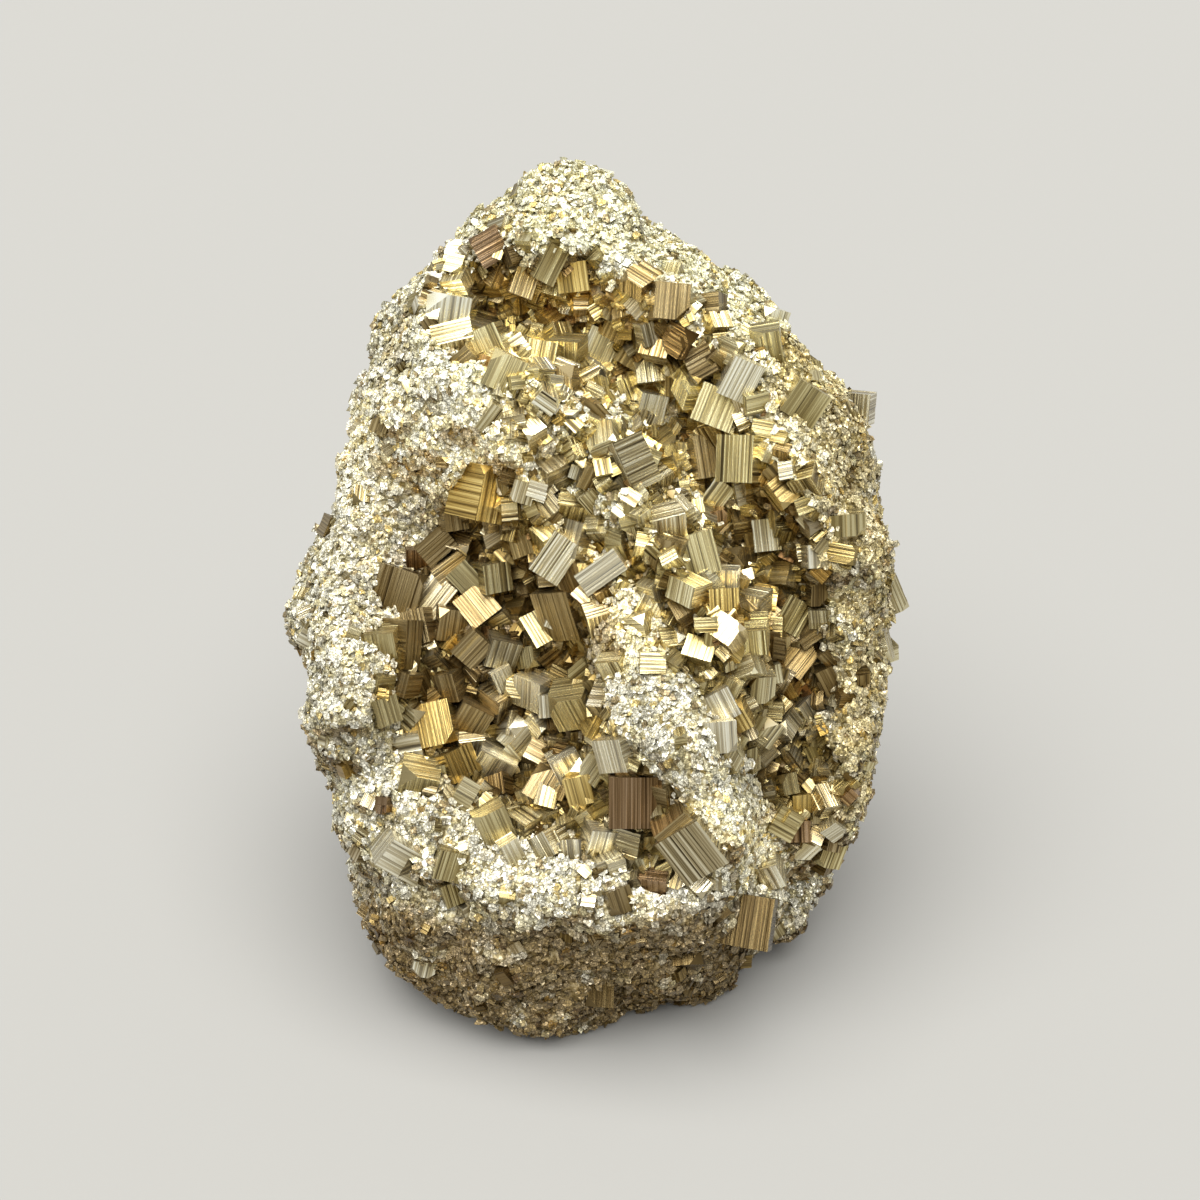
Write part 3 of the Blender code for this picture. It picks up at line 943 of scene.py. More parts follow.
RIDGE_CUBES = placed(
    (-28.5, 52.5, 8, 8, -8, 12, 12, Tone.PALE),
    (-26.5, 47, 7.5, 5, 13, 0, 50, Tone.PALE),
    (-23, 51.5, 6, 5, -15, 20, 45, Tone.GREY),
    (-20, 46, 6.5, 7.5, 22, -12, 8, Tone.OLIVE),
    (-17, 40.5, 6.5, 6.5, -24, 10, 10, Tone.OLIVE),
    (-10.5, 45, 6, 5.5, -12, -10, 5, Tone.OLIVE),
    (-6, 45.5, 6, 8, -6, -15, 25, Tone.OLIVE),
    (-7.5, 39.5, 6.5, 5.5, 4, -15, 5, Tone.BROWN),
    (0, 49, 6, 6, -22, 10, 15, Tone.PALE),
    (12.5, 53.5, 6.5, 6.5, -4, 8, 4, Tone.BROWN),
    (9, 49, 4.2, 4.2, 20, 15, 20, Tone.PALE),
    (11, 46.5, 5.5, 5, -15, -20, -5, Tone.BROWN),
    (9, 43, 5.5, 4.5, 8, 10, 0, Tone.BRASS),
    (9, 37, 5.5, 5.5, -8, 20, 20, Tone.PALE),
    (25, 40.5, 6, 7.5, -22, 10, 25, Tone.PALE),
    (21.5, 35, 7.5, 7, -22, -6, 8, Tone.OLIVE),
    (20.5, 27, 7, 8, 10, 8, 4, Tone.BROWN),
    (26.5, 25.5, 8, 8.5, -6, -38, 6, Tone.OLIVE),
    (5, 24, 6, 9.5, 18, -52, 8, Tone.GREY),
    (-9.5, 62, 4.2, 7, -24, 20, 10, Tone.OLIVE),
    (-14.5, 59, 4.5, 5, -18, 15, 5, Tone.BROWN),
    (-8, 59, 5.5, 4.5, -16, -10, 0, Tone.OLIVE),
    (-4.5, 60.5, 6, 5.5, 4, -15, 18, Tone.GOLD),
    (11.5, 13.5, 6.5, 5.5, 14, 10, 35, Tone.PALE),
    (16.5, 8, 7.5, 7.5, 16, 10, 4, Tone.OLIVE),
    (22, 3.5, 6, 5, -3, -10, 12, Tone.PALE),
    (21, 0, 5.5, 4, 3, 15, 0, Tone.GOLD),
    (28, -1, 5.5, 6, -12, -25, 25, Tone.PALE),
    (26, -6, 7.5, 5, 3, -10, 30, Tone.OLIVE),
    (8.5, -0.5, 5, 5.5, -20, 15, 25, Tone.PALE),
    (20.5, -18.5, 6, 5.5, 28, 5, 10, Tone.PALE),
    (24, -20.5, 5, 5.5, 28, -15, 5, Tone.GOLD),
    (20.5, -23.5, 5.8, 5.5, 5, 5, 4, Tone.PALE),
)
VALLEY_CUBES = placed(
    (30, 46, 5.5, 6.5, 8, -10, 30, Tone.OLIVE),
    (36.5, 36, 7, 6.5, -30, 12, 15, Tone.OLIVE),
    (40, 47, 5, 5.5, -35, 10, 10, Tone.GREY),
    (33, 54, 5, 4.5, -10, 20, 15, Tone.PALE),
    (48.5, 36.5, 6.5, 6, -8, -20, 15, Tone.PALE),
    (31, 12.5, 5, 6, 6, -8, 10, Tone.PALE),
    (44.5, 14, 6.5, 4, 4, 0, 15, Tone.OLIVE),
    (39, 8, 4.2, 4.2, 4, 10, 5, Tone.PALE),
    (37, -10.5, 7, 7.5, -38, -6, -6, Tone.BROWN),
    (35.5, -2.5, 5.5, 6.5, -28, 12, 5, Tone.OLIVE),
    (38.5, -38, 5.5, 3.5, 2, 10, 10, Tone.GOLD),
    (37.5, -43.5, 4.8, 4, 2, -10, 0, Tone.BRONZE),
    (39.5, -47, 4.5, 5.5, -40, 10, 20, Tone.PALE),
    (44.5, -48.5, 5, 6, -10, 20, 20, Tone.OLIVE),
    (30.5, -50.5, 7, 5.5, 20, -15, 30, Tone.PALE),
    # these three sit on the underside, DARK as its painted shade
    (27, -59, 10, 9.5, -8, -12, -8, Tone.DARK),
    (15.5, -65.5, 7, 4, 8, -10, -20, Tone.DARK),
    (-0.5, -73, 5, 4.5, -6, 15, -10, Tone.DARK),
    (-33, -68, 4.5, 3.5, -10, 10, 25, Tone.PALE),
    (-52, 14, 4.2, 4.2, -20, 30, 5, Tone.BROWN),
    (-26.5, -52, 5, 4.5, 20, 15, 20, Tone.OLIVE),
)
POCKETS: tuple[Pocket, ...] = (
    Pocket(5, 84, 17, 12, 3.5, 5.5),
    Pocket(-12, 62, 17, 10, 3.5, 5.5),
    Pocket(42, 60, 14, 8, 3.5, 5),
    Pocket(100, 62, 20, 6, 4, 6.5),
    Pocket(165, 88, 20, 7, 4, 7),
    Pocket(205, 42, 18, 5, 4, 6.5),
    Pocket(272, 70, 18, 5, 3, 4.5),
)


@dataclass
class CubeBed:
    """The cubes that the solid has too, at the same places, now with their striations."""

    surface: BVHTree
    seat_depth: float = 0.18  # how deep a middle lies under the ground, in sizes of its cube
    least_standing: float = 3  # of a pocket's cube over the floor, besides its width, in mm
    depths: Span = (0.9, 1.1)  # of a placed cube, in means of its width and its height
    pocket_depths: Span = (0.8, 1.1)  # of a cube of a pocket, in widths
    pocket_heights: Span = (0.75, 1.2)
    pocket_tones: tuple[Tone, ...] = (Tone.PALE, Tone.BRASS, Tone.OLIVE, Tone.BRASS)
    crowd: Crowd = field(default_factory=Crowd)
    heap: Heap = field(default_factory=lambda: Heap("striated_cubes"))

    def add(
        self, shape: Shape, turn: Matrix, seat: Vector, wide: float, tone: Tone, lines: float
    ) -> None:
        """Puts one cube on the heap, and notes where it stands and how wide it is.

        Args:
            shape: The cube.
            turn: How it is turned.
            seat: Where its middle goes, in mm.
            wide: Its width.
            tone: Its colour.
            lines: How boldly it is lined, from 0 to 1.
        """
        colours = np.array([(*linear(tone.value)[:3], lines)])
        # painted light from the bright strips
        colours[:, :3] *= painted_light_at(np.array([seat]))
        self.heap.add(shape, np.array([turn]), np.array([seat]), colours)
        self.crowd.settle(np.array([seat]), np.array([wide]), 0)

    def place_on_slope(self) -> None:
        """Seats the cubes of the front slope, one by one."""
        for number, cube in enumerate(FRONT_CUBES + RIDGE_CUBES + VALLEY_CUBES):
            rng = random.Random(SEED + number)
            on_slope = SLOPE_MIDDLE + ACROSS * cube.across + UP_SLOPE * cube.up
            hit = self.surface.ray_cast(on_slope + OUTWARD * RAY_START, -OUTWARD)[0]
            if hit is None:
                continue
            deep = (cube.wide + cube.tall) / 2 * rng.uniform(*self.depths)
            detail = random.Random(number)
            shape = CubeShape(Vector((cube.wide, deep, cube.tall))).build(rng, detail)
            seat = hit - OUTWARD * deep * self.seat_depth
            lines = detail.uniform(*LINE_STRENGTHS)
            self.add(shape, cube.turn, seat, cube.wide, cube.tone, lines)

    def fill_pockets(self) -> None:
        """Seats the cubes of the pockets, each at a place and a turn of chance."""
        rng = random.Random(SEED)
        detail = random.Random(SEED + 1)
        for pocket in POCKETS:
            toward = direction(pocket.azimuth)
            beside = Vector((-toward.y, toward.x, 0))
            for _ in range(pocket.count):
                distance = pocket.reach * math.sqrt(rng.random())
                bearing = rng.uniform(0, 2 * math.pi)
                aim = Vector((0, 0, pocket.height + distance * math.sin(bearing)))
                aim += beside * distance * math.cos(bearing)
                wide = rng.uniform(pocket.smallest, pocket.largest)
                deep = wide * rng.uniform(*self.pocket_depths)
                tall = wide * rng.uniform(*self.pocket_heights)
                axis = Vector([rng.gauss(0, 1) for _ in range(3)]).normalized()
                turn = Matrix.Rotation(rng.uniform(0, 2 * math.pi), 3, axis)
                hit, normal = self.surface.ray_cast(aim + toward * RAY_START, -toward)[:2]
                if hit is None or hit.z < self.least_standing + wide:
                    continue
                shape = CubeShape(Vector((wide, deep, tall))).build(rng, detail)
                seat = hit - normal * wide * self.seat_depth
                tone = detail.choice(self.pocket_tones)
                self.add(shape, turn, seat, wide, tone, detail.uniform(*LINE_STRENGTHS))

    def build(self, finish: "StriatedPyrite") -> bpy.types.Object:
        """Places every large cube.

        Args:
            finish: The cubes' finish.

        Returns:
            The cubes as one piece.
        """
        self.place_on_slope()
        self.fill_pockets()
        # painted shade where the cubes meet the ground
        self.heap.shade_near_ground(self.surface)
        return self.heap.to_object(finish.make())


# The rough mass and what coats it


@dataclass
class RoughMass:
    """The massive pyrite under the grains: pitted ground, darker where cubes crowd it, as painted shade
    between them.
    """

    form: StoneForm
    voxel: float = 1.1
    inset: float = 0.4  # how far the ground lies inside the solid's face, in mm
    pits: tuple[Lump, ...] = (Lump(2.6, 0.9, Vector((3, 1, 5))), Lump(1.3, 0.4, Vector((8, 2, 6))))
    crowded_inset: float = 1.1  # how much deeper the ground lies between crowded cubes
    bare_colour: str = "#ECE7CF"
    # painted shade of the ground between crowded cubes
    crowded_shade_colour: str = "#7C6840"

    def evened(self) -> bmesh.types.BMesh:
        """Evens the body out.

        Returns:
            The body with small faces of one size, in mm.
        """
        rough = self.form.build()
        source = bpy.data.meshes.new("body")
        rough.to_mesh(source)
        rough.free()
        block = finished(source)
        remesh = block.modifiers.new("evened", "REMESH")
        remesh.mode = "VOXEL"
        remesh.voxel_size = self.voxel
        graph = bpy.context.evaluated_depsgraph_get()
        bm = bmesh.new()
        bm.from_mesh(block.evaluated_get(graph).to_mesh())
        bpy.data.objects.remove(block)
        bm.normal_update()
        return bm

    def build(self, finish: "StainedGround") -> bpy.types.Object:
        """Pits the evened body, sinks it where cubes crowd it and cuts it flat at the floor.

        Args:
            finish: The finish of the bare ground.

        Returns:
            The mass as one closed piece.
        """
        bm = self.evened()
        for vert in bm.verts:
            pit = sum(noise.noise(vert.co / p.spacing + p.start) * p.height for p in self.pits)
            vert.co += vert.normal * (pit - self.inset)
        for vert, crowded in zip(bm.verts, Sites.of(bm, self.form).crowding):
            vert.co -= vert.normal * float(crowded) * self.crowded_inset
        cut_off(bm, Vector((0, 0, 0)), Vector((0, 0, -1)))
        bmesh.ops.recalc_face_normals(bm, faces=bm.faces)
        bm.normal_update()
        ground = Sites.of(bm, self.form)
        crowded = ground.crowding[:, None]
        # painted shade where cubes crowd the ground, then the tints
        colours = (1 - crowded) * linear(self.bare_colour) + crowded * linear(self.crowded_shade_colour)
        colours[:, :3] *= ground.tints
        bmesh.ops.scale(bm, vec=(MM, MM, MM), verts=bm.verts)
        mesh = bpy.data.meshes.new("rough_mass")
        bm.to_mesh(mesh)
        bm.free()
        tint_points(mesh, colours)
        mesh.materials.append(finish.make())
        return finished(mesh)

def random_turns(count: int, rng: np.random.Generator) -> FloatArray:
    """Rotation matrices spread evenly over all directions.

    Args:
        count: How many.
        rng: The random draws.

    Returns:
        count matrices of 3 by 3.
    """
    w, x, y, z = rng.normal(size=(4, count))
    length = np.sqrt(w * w + x * x + y * y + z * z)
    w, x, y, z = w / length, x / length, y / length, z / length
    return np.array(
        [
            [1 - 2 * (y * y + z * z), 2 * (x * y - w * z), 2 * (x * z + w * y)],
            [2 * (x * y + w * z), 1 - 2 * (x * x + z * z), 2 * (y * z - w * x)],
            [2 * (x * z - w * y), 2 * (y * z + w * x), 1 - 2 * (x * x + y * y)],
        ]
    ).transpose(2, 0, 1)


def turns_on(normals: FloatArray, rng: np.random.Generator) -> FloatArray:
    """Matrices that stand a shape's Z on each normal and spin it by chance.

    Args:
        normals: Directions of length 1, n by 3.
        rng: The random draws.

    Returns:
        n matrices of 3 by 3.
    """
    beside = np.cross(normals, rng.normal(size=normals.shape))
    beside /= np.linalg.norm(beside, axis=1)[:, None]
    return np.stack([beside, np.cross(normals, beside), normals], axis=2)


@dataclass(frozen=True)
class ToneMix:
    """Tones in the shares that they are found in."""

    tones: tuple[Tone, ...]
    shares: tuple[float, ...]
    dimmest: float = 0.8  # of the colour of its tone, on any one crystal
    brightest: float = 1.05

    def draw(self, count: int, rng: np.random.Generator) -> FloatArray:
        """Draws colours near the tones.

        Args:
            count: How many crystals.
            rng: The random draws.

        Returns:
            A row of linear red, green, blue and line strength for each crystal.
        """
        palette = np.array([linear(tone.value) for tone in self.tones])
        colours = palette[rng.choice(len(palette), count, p=np.array(self.shares) / sum(self.shares))]
        colours[:, :3] *= rng.uniform(self.dimmest, self.brightest, (count, 1))
        colours[:, 3] = rng.uniform(*LINE_STRENGTHS, count)
        return colours


@dataclass
class CubeFill:
    """Cubes of one range of sizes that crowd the hollows between those that stand already."""

    name: str
    sites: Sites
    crowd: Crowd
    seed: int
    sizes: Span  # of a cube's width, in mm
    share: float  # of the sites that are tried where the slope is fully crowded
    stray_share: float  # of the sites that are tried everywhere
    closeness: float  # how near two may stand, as a share of the mean of their widths
    stand: Span  # how far a middle stands over the ground, in widths
    prototypes: int  # how many different cubes are copied
    striation: Striation | None = None
    mix: ToneMix = ToneMix(
        (Tone.PALE, Tone.BRASS, Tone.GOLD, Tone.OLIVE, Tone.GREY, Tone.BROWN, Tone.BRONZE),
        (4.5, 4.2, 0.5, 4.2, 1.4, 2.2, 0.4),
    )
    corners_cut: tuple[int, int] = (0, 3)
    skew: float = 1.5  # above 1, small sizes are commoner than large ones
    depths: Span = (0.6, 1.1)  # of a cube, in widths
    heights: Span = (0.6, 1.25)
    paired_share: float = 0.45  # of the cubes that have a smaller one grown on
    pair_size: Span = (0.5, 0.8)  # of the smaller, in sizes of the larger
    pair_offset: Span = (0.35, 0.8)  # of its middle, on the way from the larger's to its faces
    pair_flush: float = 0.2  # what is left of that offset along one of the axes
    pair_lean: float = 0.03  # how far it is from parallel

    def build(self, finish: "StriatedPyrite", surface: BVHTree) -> bpy.types.Object:
        """Seats cubes wherever there is room, the largest first.

        Args:
            finish: The cubes' finish.
            surface: The ground, for the painted shade near it.

        Returns:
            All the cubes of this range as one piece.
        """
        rng = np.random.default_rng(self.seed)
        chances = self.sites.crowding * self.share + self.stray_share
        tried = np.flatnonzero(rng.random(len(chances)) < chances)
        smallest, largest = self.sizes
        widths = smallest + (largest - smallest) * np.sort(rng.random(len(tried)))[::-1] ** self.skew
        rng.shuffle(tried)
        found = self.crowd.settle(self.sites.places[tried], widths, self.closeness)
        chosen, widths = tried[found], widths[found]
        kinds = rng.integers(self.prototypes, size=len(chosen))
        middle = (smallest + largest) / 2
        heap = Heap(self.name)
        for kind in range(self.prototypes):
            draws = random.Random(self.seed + kind)
            size = Vector((1, draws.uniform(*self.depths), draws.uniform(*self.heights))) * middle
            shape = CubeShape(size, self.striation, self.corners_cut).build(draws, draws)
            here = kinds == kind
            turns = random_turns(here.sum(), rng) * (widths[here] / middle)[:, None, None]
            stand = rng.uniform(*self.stand, here.sum()) * widths[here]
            seats = self.sites.places[chosen[here]] + self.sites.normals[chosen[here]] * stand[:, None]
            tones = self.mix.draw(here.sum(), rng)
            # the site's tints: darker patches, painted shade and painted light
            tones[:, :3] *= self.sites.tints[chosen[here]]
            heap.add(shape, turns, seats, tones)
            self.grow_on(heap, shape, turns, seats, tones, rng)
        # painted shade where the cubes meet the ground
        heap.shade_near_ground(surface)
        return heap.to_object(finish.make())

    def grow_on(
        self,
        heap: Heap,
        shape: Shape,
        turns: FloatArray,
        seats: FloatArray,
        tones: FloatArray,
        rng: np.random.Generator,
    ) -> None:
        """Adds to some cubes a smaller one, nearly parallel, that stands out at one side.

        Args:
            heap: Where the cubes go.
            shape: The shape of both.
            turns: The turns and scales of the cubes that stand.
            seats: Their middles, in mm.
            tones: Their colours.
            rng: The random draws.
        """
        paired = rng.random(len(seats)) < self.paired_share
        count = paired.sum()
        reach = np.ptp(shape.points, axis=0) / 2
        offset = reach * rng.uniform(*self.pair_offset, (count, 3)) * rng.choice((-1, 1), (count, 3))
        offset[np.arange(count), rng.integers(3, size=count)] *= self.pair_flush
        moved = seats[paired] + np.einsum("kij,kj->ki", turns[paired], offset)
        leant = np.eye(3) + rng.normal(0, self.pair_lean, (count, 3, 3))
        smaller = turns[paired] @ leant * rng.uniform(*self.pair_size, (count, 1, 1))
        heap.add(shape, smaller, moved, tones[paired])


@dataclass(frozen=True)
class Chip:
    """A broken grain 1 mm across: two facets on top, and sides that run in to a point below."""

    corners: tuple[int, ...] = (4, 4, 5, 6)  # of its outline: half the chips have four
    radius: float = 0.6
    height: float = 0.8
    lengths: Span = (0.8, 1.25)  # how the outline is drawn out along X
    widths: Span = (0.7, 1.0)  # and along Y
    leans: Span = (30, 60)  # of the second facet from the first, in degrees
    lifts: Span = (0.05, 0.3)  # of the second facet over the middle of the first, in mm

    def build(self, draws: random.Random) -> Shape:
        """Makes one chip.

        Args:
            draws: The random draws for its outline and its facets.

        Returns:
            The closed grain, whose Z points out of the stone.
        """
        bm = bmesh.new()
        bmesh.ops.create_cone(
            bm,
            segments=draws.choice(self.corners),
            radius1=self.radius,
            radius2=0,
            depth=self.height,
            cap_ends=True,
            cap_tris=False,
        )
        stretch = Vector((draws.uniform(*self.lengths), draws.uniform(*self.widths), -1))
        bmesh.ops.scale(bm, vec=stretch, verts=bm.verts)
        bearing = draws.uniform(0, 2 * math.pi)
        lean = math.radians(draws.uniform(*self.leans))
        level = math.sin(lean)
        facing = Vector((math.cos(bearing) * level, math.sin(bearing) * level, math.cos(lean)))
        top = Vector((0, 0, self.height / 2))
        cut_off(bm, top + facing * draws.uniform(*self.lifts), facing)
        bmesh.ops.recalc_face_normals(bm, faces=bm.faces)
        return Shape.of(bm)


@dataclass
class GrainCoat:
    """The grains of the massive pyrite: flat broken chips, side by side all over the stone."""

    sites: Sites
    crowd: Crowd
    seed: int = SEED + 2
    sizes: Span = (0.9, 1.95)
    jitter: float = 0.33  # of a grain's place round its site, in mm
    prototypes: int = 20  # how many different chips are copied
    tilt: float = 0.3  # of a grain from the surface, as a share of the normal's length
    stand: Span = (-0.35, 0.0)  # of each middle over the surface, in grain sizes
    covered: float = 0.42  # a grain this near a cube's middle, in the cube's widths, is hidden
    crowded_share: float = 0.6  # of the grains that are left where cubes crowd the slope
    hidden_from: float = -0.2  # stone that faces the eye less than this counts as facing away
    hidden_share: float = 0.5  # of the grains that are left there
    hidden_growth: float = 1.55  # and how much larger they are
    doubled_share: float = 0.45  # of the sites in sight that get a second grain beside the first
    mix: ToneMix = ToneMix(
        (Tone.PALE, Tone.BRASS, Tone.GOLD, Tone.OLIVE, Tone.BROWN, Tone.GREY),
        (8, 4, 0.5, 2, 1, 0.8),
        0.75,
    )
    tarnish: float = 1.4  # grains lie deeper than cubes, and their tints, painted shade and painted light among them, act more strongly
    crowded_shade_tint: Tint = (0.55, 0.46, 0.32)  # painted shade between the cubes

    def kept(self, rng: np.random.Generator) -> FloatArray:
        """Chooses where grains lie.

        Args:
            rng: The random draws.

        Returns:
            The numbers of the sites that get a grain, some of them twice.
        """
        sites = self.sites
        chances = 1 - sites.crowding * (1 - self.crowded_share)
        chances *= np.where(sites.facing > self.hidden_from, 1, self.hidden_share)
        free = rng.random(len(chances)) < chances
        for x, y, z, width in self.crowd.seats:
            away = np.linalg.norm(sites.places - (x, y, z), axis=1)
            free &= away > self.covered * width
        doubled = free & (sites.facing > 0) & (rng.random(len(chances)) < self.doubled_share)
        return np.concatenate([np.flatnonzero(free), np.flatnonzero(doubled)])

    def build(self, finish: "GranularPyrite") -> list[bpy.types.Object]:
        """Lays the grains.

        Args:
            finish: The grains' finish.

        Returns:
            Four pieces, one to a quarter of the stone.
        """
        rng = np.random.default_rng(self.seed)
        kept = self.kept(rng)
        count = len(kept)
        normals = self.sites.normals[kept]
        sizes = rng.uniform(*self.sizes, count)
        sizes *= np.where(self.sites.facing[kept] > self.hidden_from, 1, self.hidden_growth)
        tilted = normals + rng.normal(0, self.tilt, (count, 3))
        tilted /= np.linalg.norm(tilted, axis=1)[:, None]
        turns = turns_on(tilted, rng) * sizes[:, None, None]
        seats = self.sites.places[kept] + rng.normal(0, self.jitter, (count, 3))
        seats += normals * (sizes * rng.uniform(*self.stand, count))[:, None]
        seats[:, 2] = np.maximum(seats[:, 2], SITE_FLOOR)
        tones = self.mix.draw(count, rng)
        # the tints, painted shade and painted light among them, then painted shade between crowded cubes
        tones[:, :3] *= self.sites.tints[kept] ** self.tarnish
        crowding = self.sites.crowding[kept][:, None]
        tones[:, :3] *= 1 - crowding * (1 - np.array(self.crowded_shade_tint))
        kinds = rng.integers(self.prototypes, size=count)
        shapes = [Chip().build(random.Random(SEED + kind)) for kind in range(self.prototypes)]
        left, front = seats[:, 0] < SLOPE_MIDDLE.x, seats[:, 1] < SLOPE_MIDDLE.y
        material = finish.make()
        pieces = []
        for name, here in (
            ("grains_front_left", front & left),
            ("grains_front_right", front & ~left),
            ("grains_back_left", ~front & left),
            ("grains_back_right", ~front & ~left),
        ):
            heap = Heap(name)
            for kind, shape in enumerate(shapes):
                some = here & (kinds == kind)
                heap.add(shape, turns[some], seats[some], tones[some])
            pieces.append(heap.to_object(material))
        return pieces


# Finishes


def wire(
    tree: bpy.types.NodeTree,
    node: bpy.types.Node,
    values: dict[str | int, Any],
    links: dict[str | int, bpy.types.NodeSocket],
) -> bpy.types.Node:
    """Sets and feeds a node's inputs.

    Args:
        tree: The material's node tree.
        node: The node.
        values: What each unlinked input is set to.
        links: Which output feeds each linked input.

    Returns:
        The node.
    """
    for name, value in values.items():
        node.inputs[name].default_value = value
    for name, output in links.items():
        tree.links.new(output, node.inputs[name])
    return node


def add_node(
    tree: bpy.types.NodeTree,
    kind: str,
    values: dict[str | int, Any] | None = None,
    links: dict[str | int, bpy.types.NodeSocket] | None = None,
    **settings: Any,
) -> bpy.types.Node:
    """Adds one node to a material.

    Args:
        tree: The material's node tree.
        kind: The shader node's type, such as "TexNoise".
        values: What each unlinked input is set to.
        links: Which output feeds each linked input.
        settings: The node's own options.

    Returns:
        The node.
    """
    node = tree.nodes.new(f"ShaderNode{kind}")
    for name, value in settings.items():
        setattr(node, name, value)
    return wire(tree, node, values or {}, links or {})


def new_material(name: str) -> tuple[bpy.types.Material, bpy.types.NodeTree, bpy.types.Node]:
    """Makes an empty material.

    Args:
        name: The material's name.

    Returns:
        The material, its node tree and its shader.
    """
    material = bpy.data.materials.new(name)
    material.use_nodes = True
    tree = material.node_tree
    return material, tree, tree.nodes["Principled BSDF"]


def set_ramp(node: bpy.types.Node, stops: Stops) -> bpy.types.NodeSocket:
    """Gives a Color Ramp its stops.

    Args:
        node: The Color Ramp.
        stops: A place from 0 to 1 and an sRGB hex colour for each stop.

    Returns:
        The socket with the colour.
    """
    ramp = node.color_ramp
    for index, (place, colour) in enumerate(stops):
        stop = ramp.elements[index] if index < len(ramp.elements) else ramp.elements.new(place)
        stop.position = place
        stop.color = linear(colour)
    return node.outputs["Color"]


def glittering(tree: bpy.types.NodeTree, facet_mm: float, tilt: float) -> bpy.types.NodeSocket:
    """Normals that jump from facet to facet, so that the metal glitters.

    Args:
        tree: The material's node tree.
        facet_mm: How wide a facet is.
        tilt: How far facets lean, as a share of the normal's length.

    Returns:
        The socket with the normals.
    """
    place = add_node(tree, "TexCoord").outputs["Object"]
    facets = add_node(tree, "TexVoronoi", {"Scale": 1 / (facet_mm * MM)}, {"Vector": place})
    centred = add_node(
        tree, "VectorMath", {1: (0.5,) * 3}, {0: facets.outputs["Color"]}, operation="SUBTRACT"
    )
    normal = add_node(tree, "NewGeometry").outputs["Normal"]
    leant = add_node(
        tree,
        "VectorMath",
        {1: (2 * tilt,) * 3},
        {0: centred.outputs["Vector"], 2: normal},
        operation="MULTIPLY_ADD",
    )
    unit = add_node(tree, "VectorMath", links={0: leant.outputs["Vector"]}, operation="NORMALIZE")
    return unit.outputs["Vector"]


@dataclass(frozen=True)
class StriatedPyrite:
    """Pyrite cube faces: iron sulphide, metallic brass-yellow, ruled by growth lines.

    The lines catch the light one by one: pale lines show on a face in shade and dark lines on
    a lit one. The colour runs from clean brass to a brown or golden tarnish.
    """

    name: str = "striated_pyrite"
    line_pitch_mm: float = 0.46  # the strongest lines; finer ones lie between them
    band_pitch_mm: float = 1.5
    waver: float = 0.006  # how much a line changes along itself, as a share of its pitch
    gathering: float = 0.25  # how far the fine lines gather in bands
    # the dark lines are painted shade of the growth lines, laid on the colour whatever the light; their
    # bump tilts them too
    line_shades: Stops = ((0.38, "#3C2E14"), (0.44, "#A3967A"), (0.51, "#CFC6B0"), (0.56, "#FFFFFF"))
    line_depth_mm: float = 0.2
    gold: str = "#E2C57C"
    gold_bands: Span = (0.68, 0.71)  # bands turn golden where their pattern is above these
    gold_share: float = 0.25
    metallic: float = 0.88  # lines too fine to draw scatter the rest of the light
    roughness: Span = (0.18, 0.34)  # on a bright line and in a dark one

    def ruled(self, tree: bpy.types.NodeTree, pitch_mm: float) -> bpy.types.NodeSocket:
        """Rules straight lines of uneven width across the faces.

        Args:
            tree: The material's node tree.
            pitch_mm: The lines' mean distance.

        Returns:
            A socket with values round 0.5 that change from line to line.
        """
        uv = add_node(tree, "UVMap", uv_map=STRIATION_UV)
        scale = (1 / pitch_mm, self.waver / pitch_mm, 1)
        lines = add_node(tree, "Mapping", {"Scale": scale}, {"Vector": uv.outputs["UV"]})
        uneven = add_node(
            tree,
            "TexNoise",
            {"Scale": 1, "Detail": 4, "Roughness": 0.68},
            {"Vector": lines.outputs["Vector"]},
            noise_dimensions="2D",
        )
        return uneven.outputs["Fac"]

    def make(self) -> bpy.types.Material:
        """Builds the material.

        Returns:
            The material.
        """
        material, tree, shader = new_material(self.name)
        fine = self.ruled(tree, self.line_pitch_mm)
        band = self.ruled(tree, self.band_pitch_mm)
        gathered = add_node(tree, "Mix", {"Factor": self.gathering}, {"A": fine, "B": band})
        line = gathered.outputs["Result"]
        tone = add_node(tree, "Attribute", attribute_name=TONE_ATTRIBUTE)
        shades = set_ramp(add_node(tree, "ValToRGB", links={"Fac": line}), self.line_shades)
        lined = add_node(
            tree,
            "Mix",
            links={"Factor": tone.outputs["Alpha"], "A": tone.outputs["Color"], "B": shades},
            data_type="RGBA",
            blend_type="MULTIPLY",
        )
        start, full = self.gold_bands
        golden = add_node(
            tree,
            "MapRange",
            {"From Min": start, "From Max": full, "To Max": self.gold_share},
            {"Value": band},
        )
        gilded = add_node(
            tree,
            "Mix",
            {"B": linear(self.gold)},
            {"Factor": golden.outputs["Result"], "A": lined.outputs["Result"]},
            data_type="RGBA",
        )
        smoothest, roughest = self.roughness
        rough = add_node(
            tree, "MapRange", {"To Min": roughest, "To Max": smoothest}, {"Value": line}
        )
        bump = add_node(
            tree,
            "Bump",
            {"Distance": self.line_depth_mm * MM},
            {"Height": line, "Strength": tone.outputs["Alpha"]},
        )
        links = {
            "Base Color": gilded.outputs["Result"],
            "Roughness": rough.outputs["Result"],
            "Normal": bump.outputs["Normal"],
        }
        wire(tree, shader, {"Metallic": self.metallic}, links)
        return material


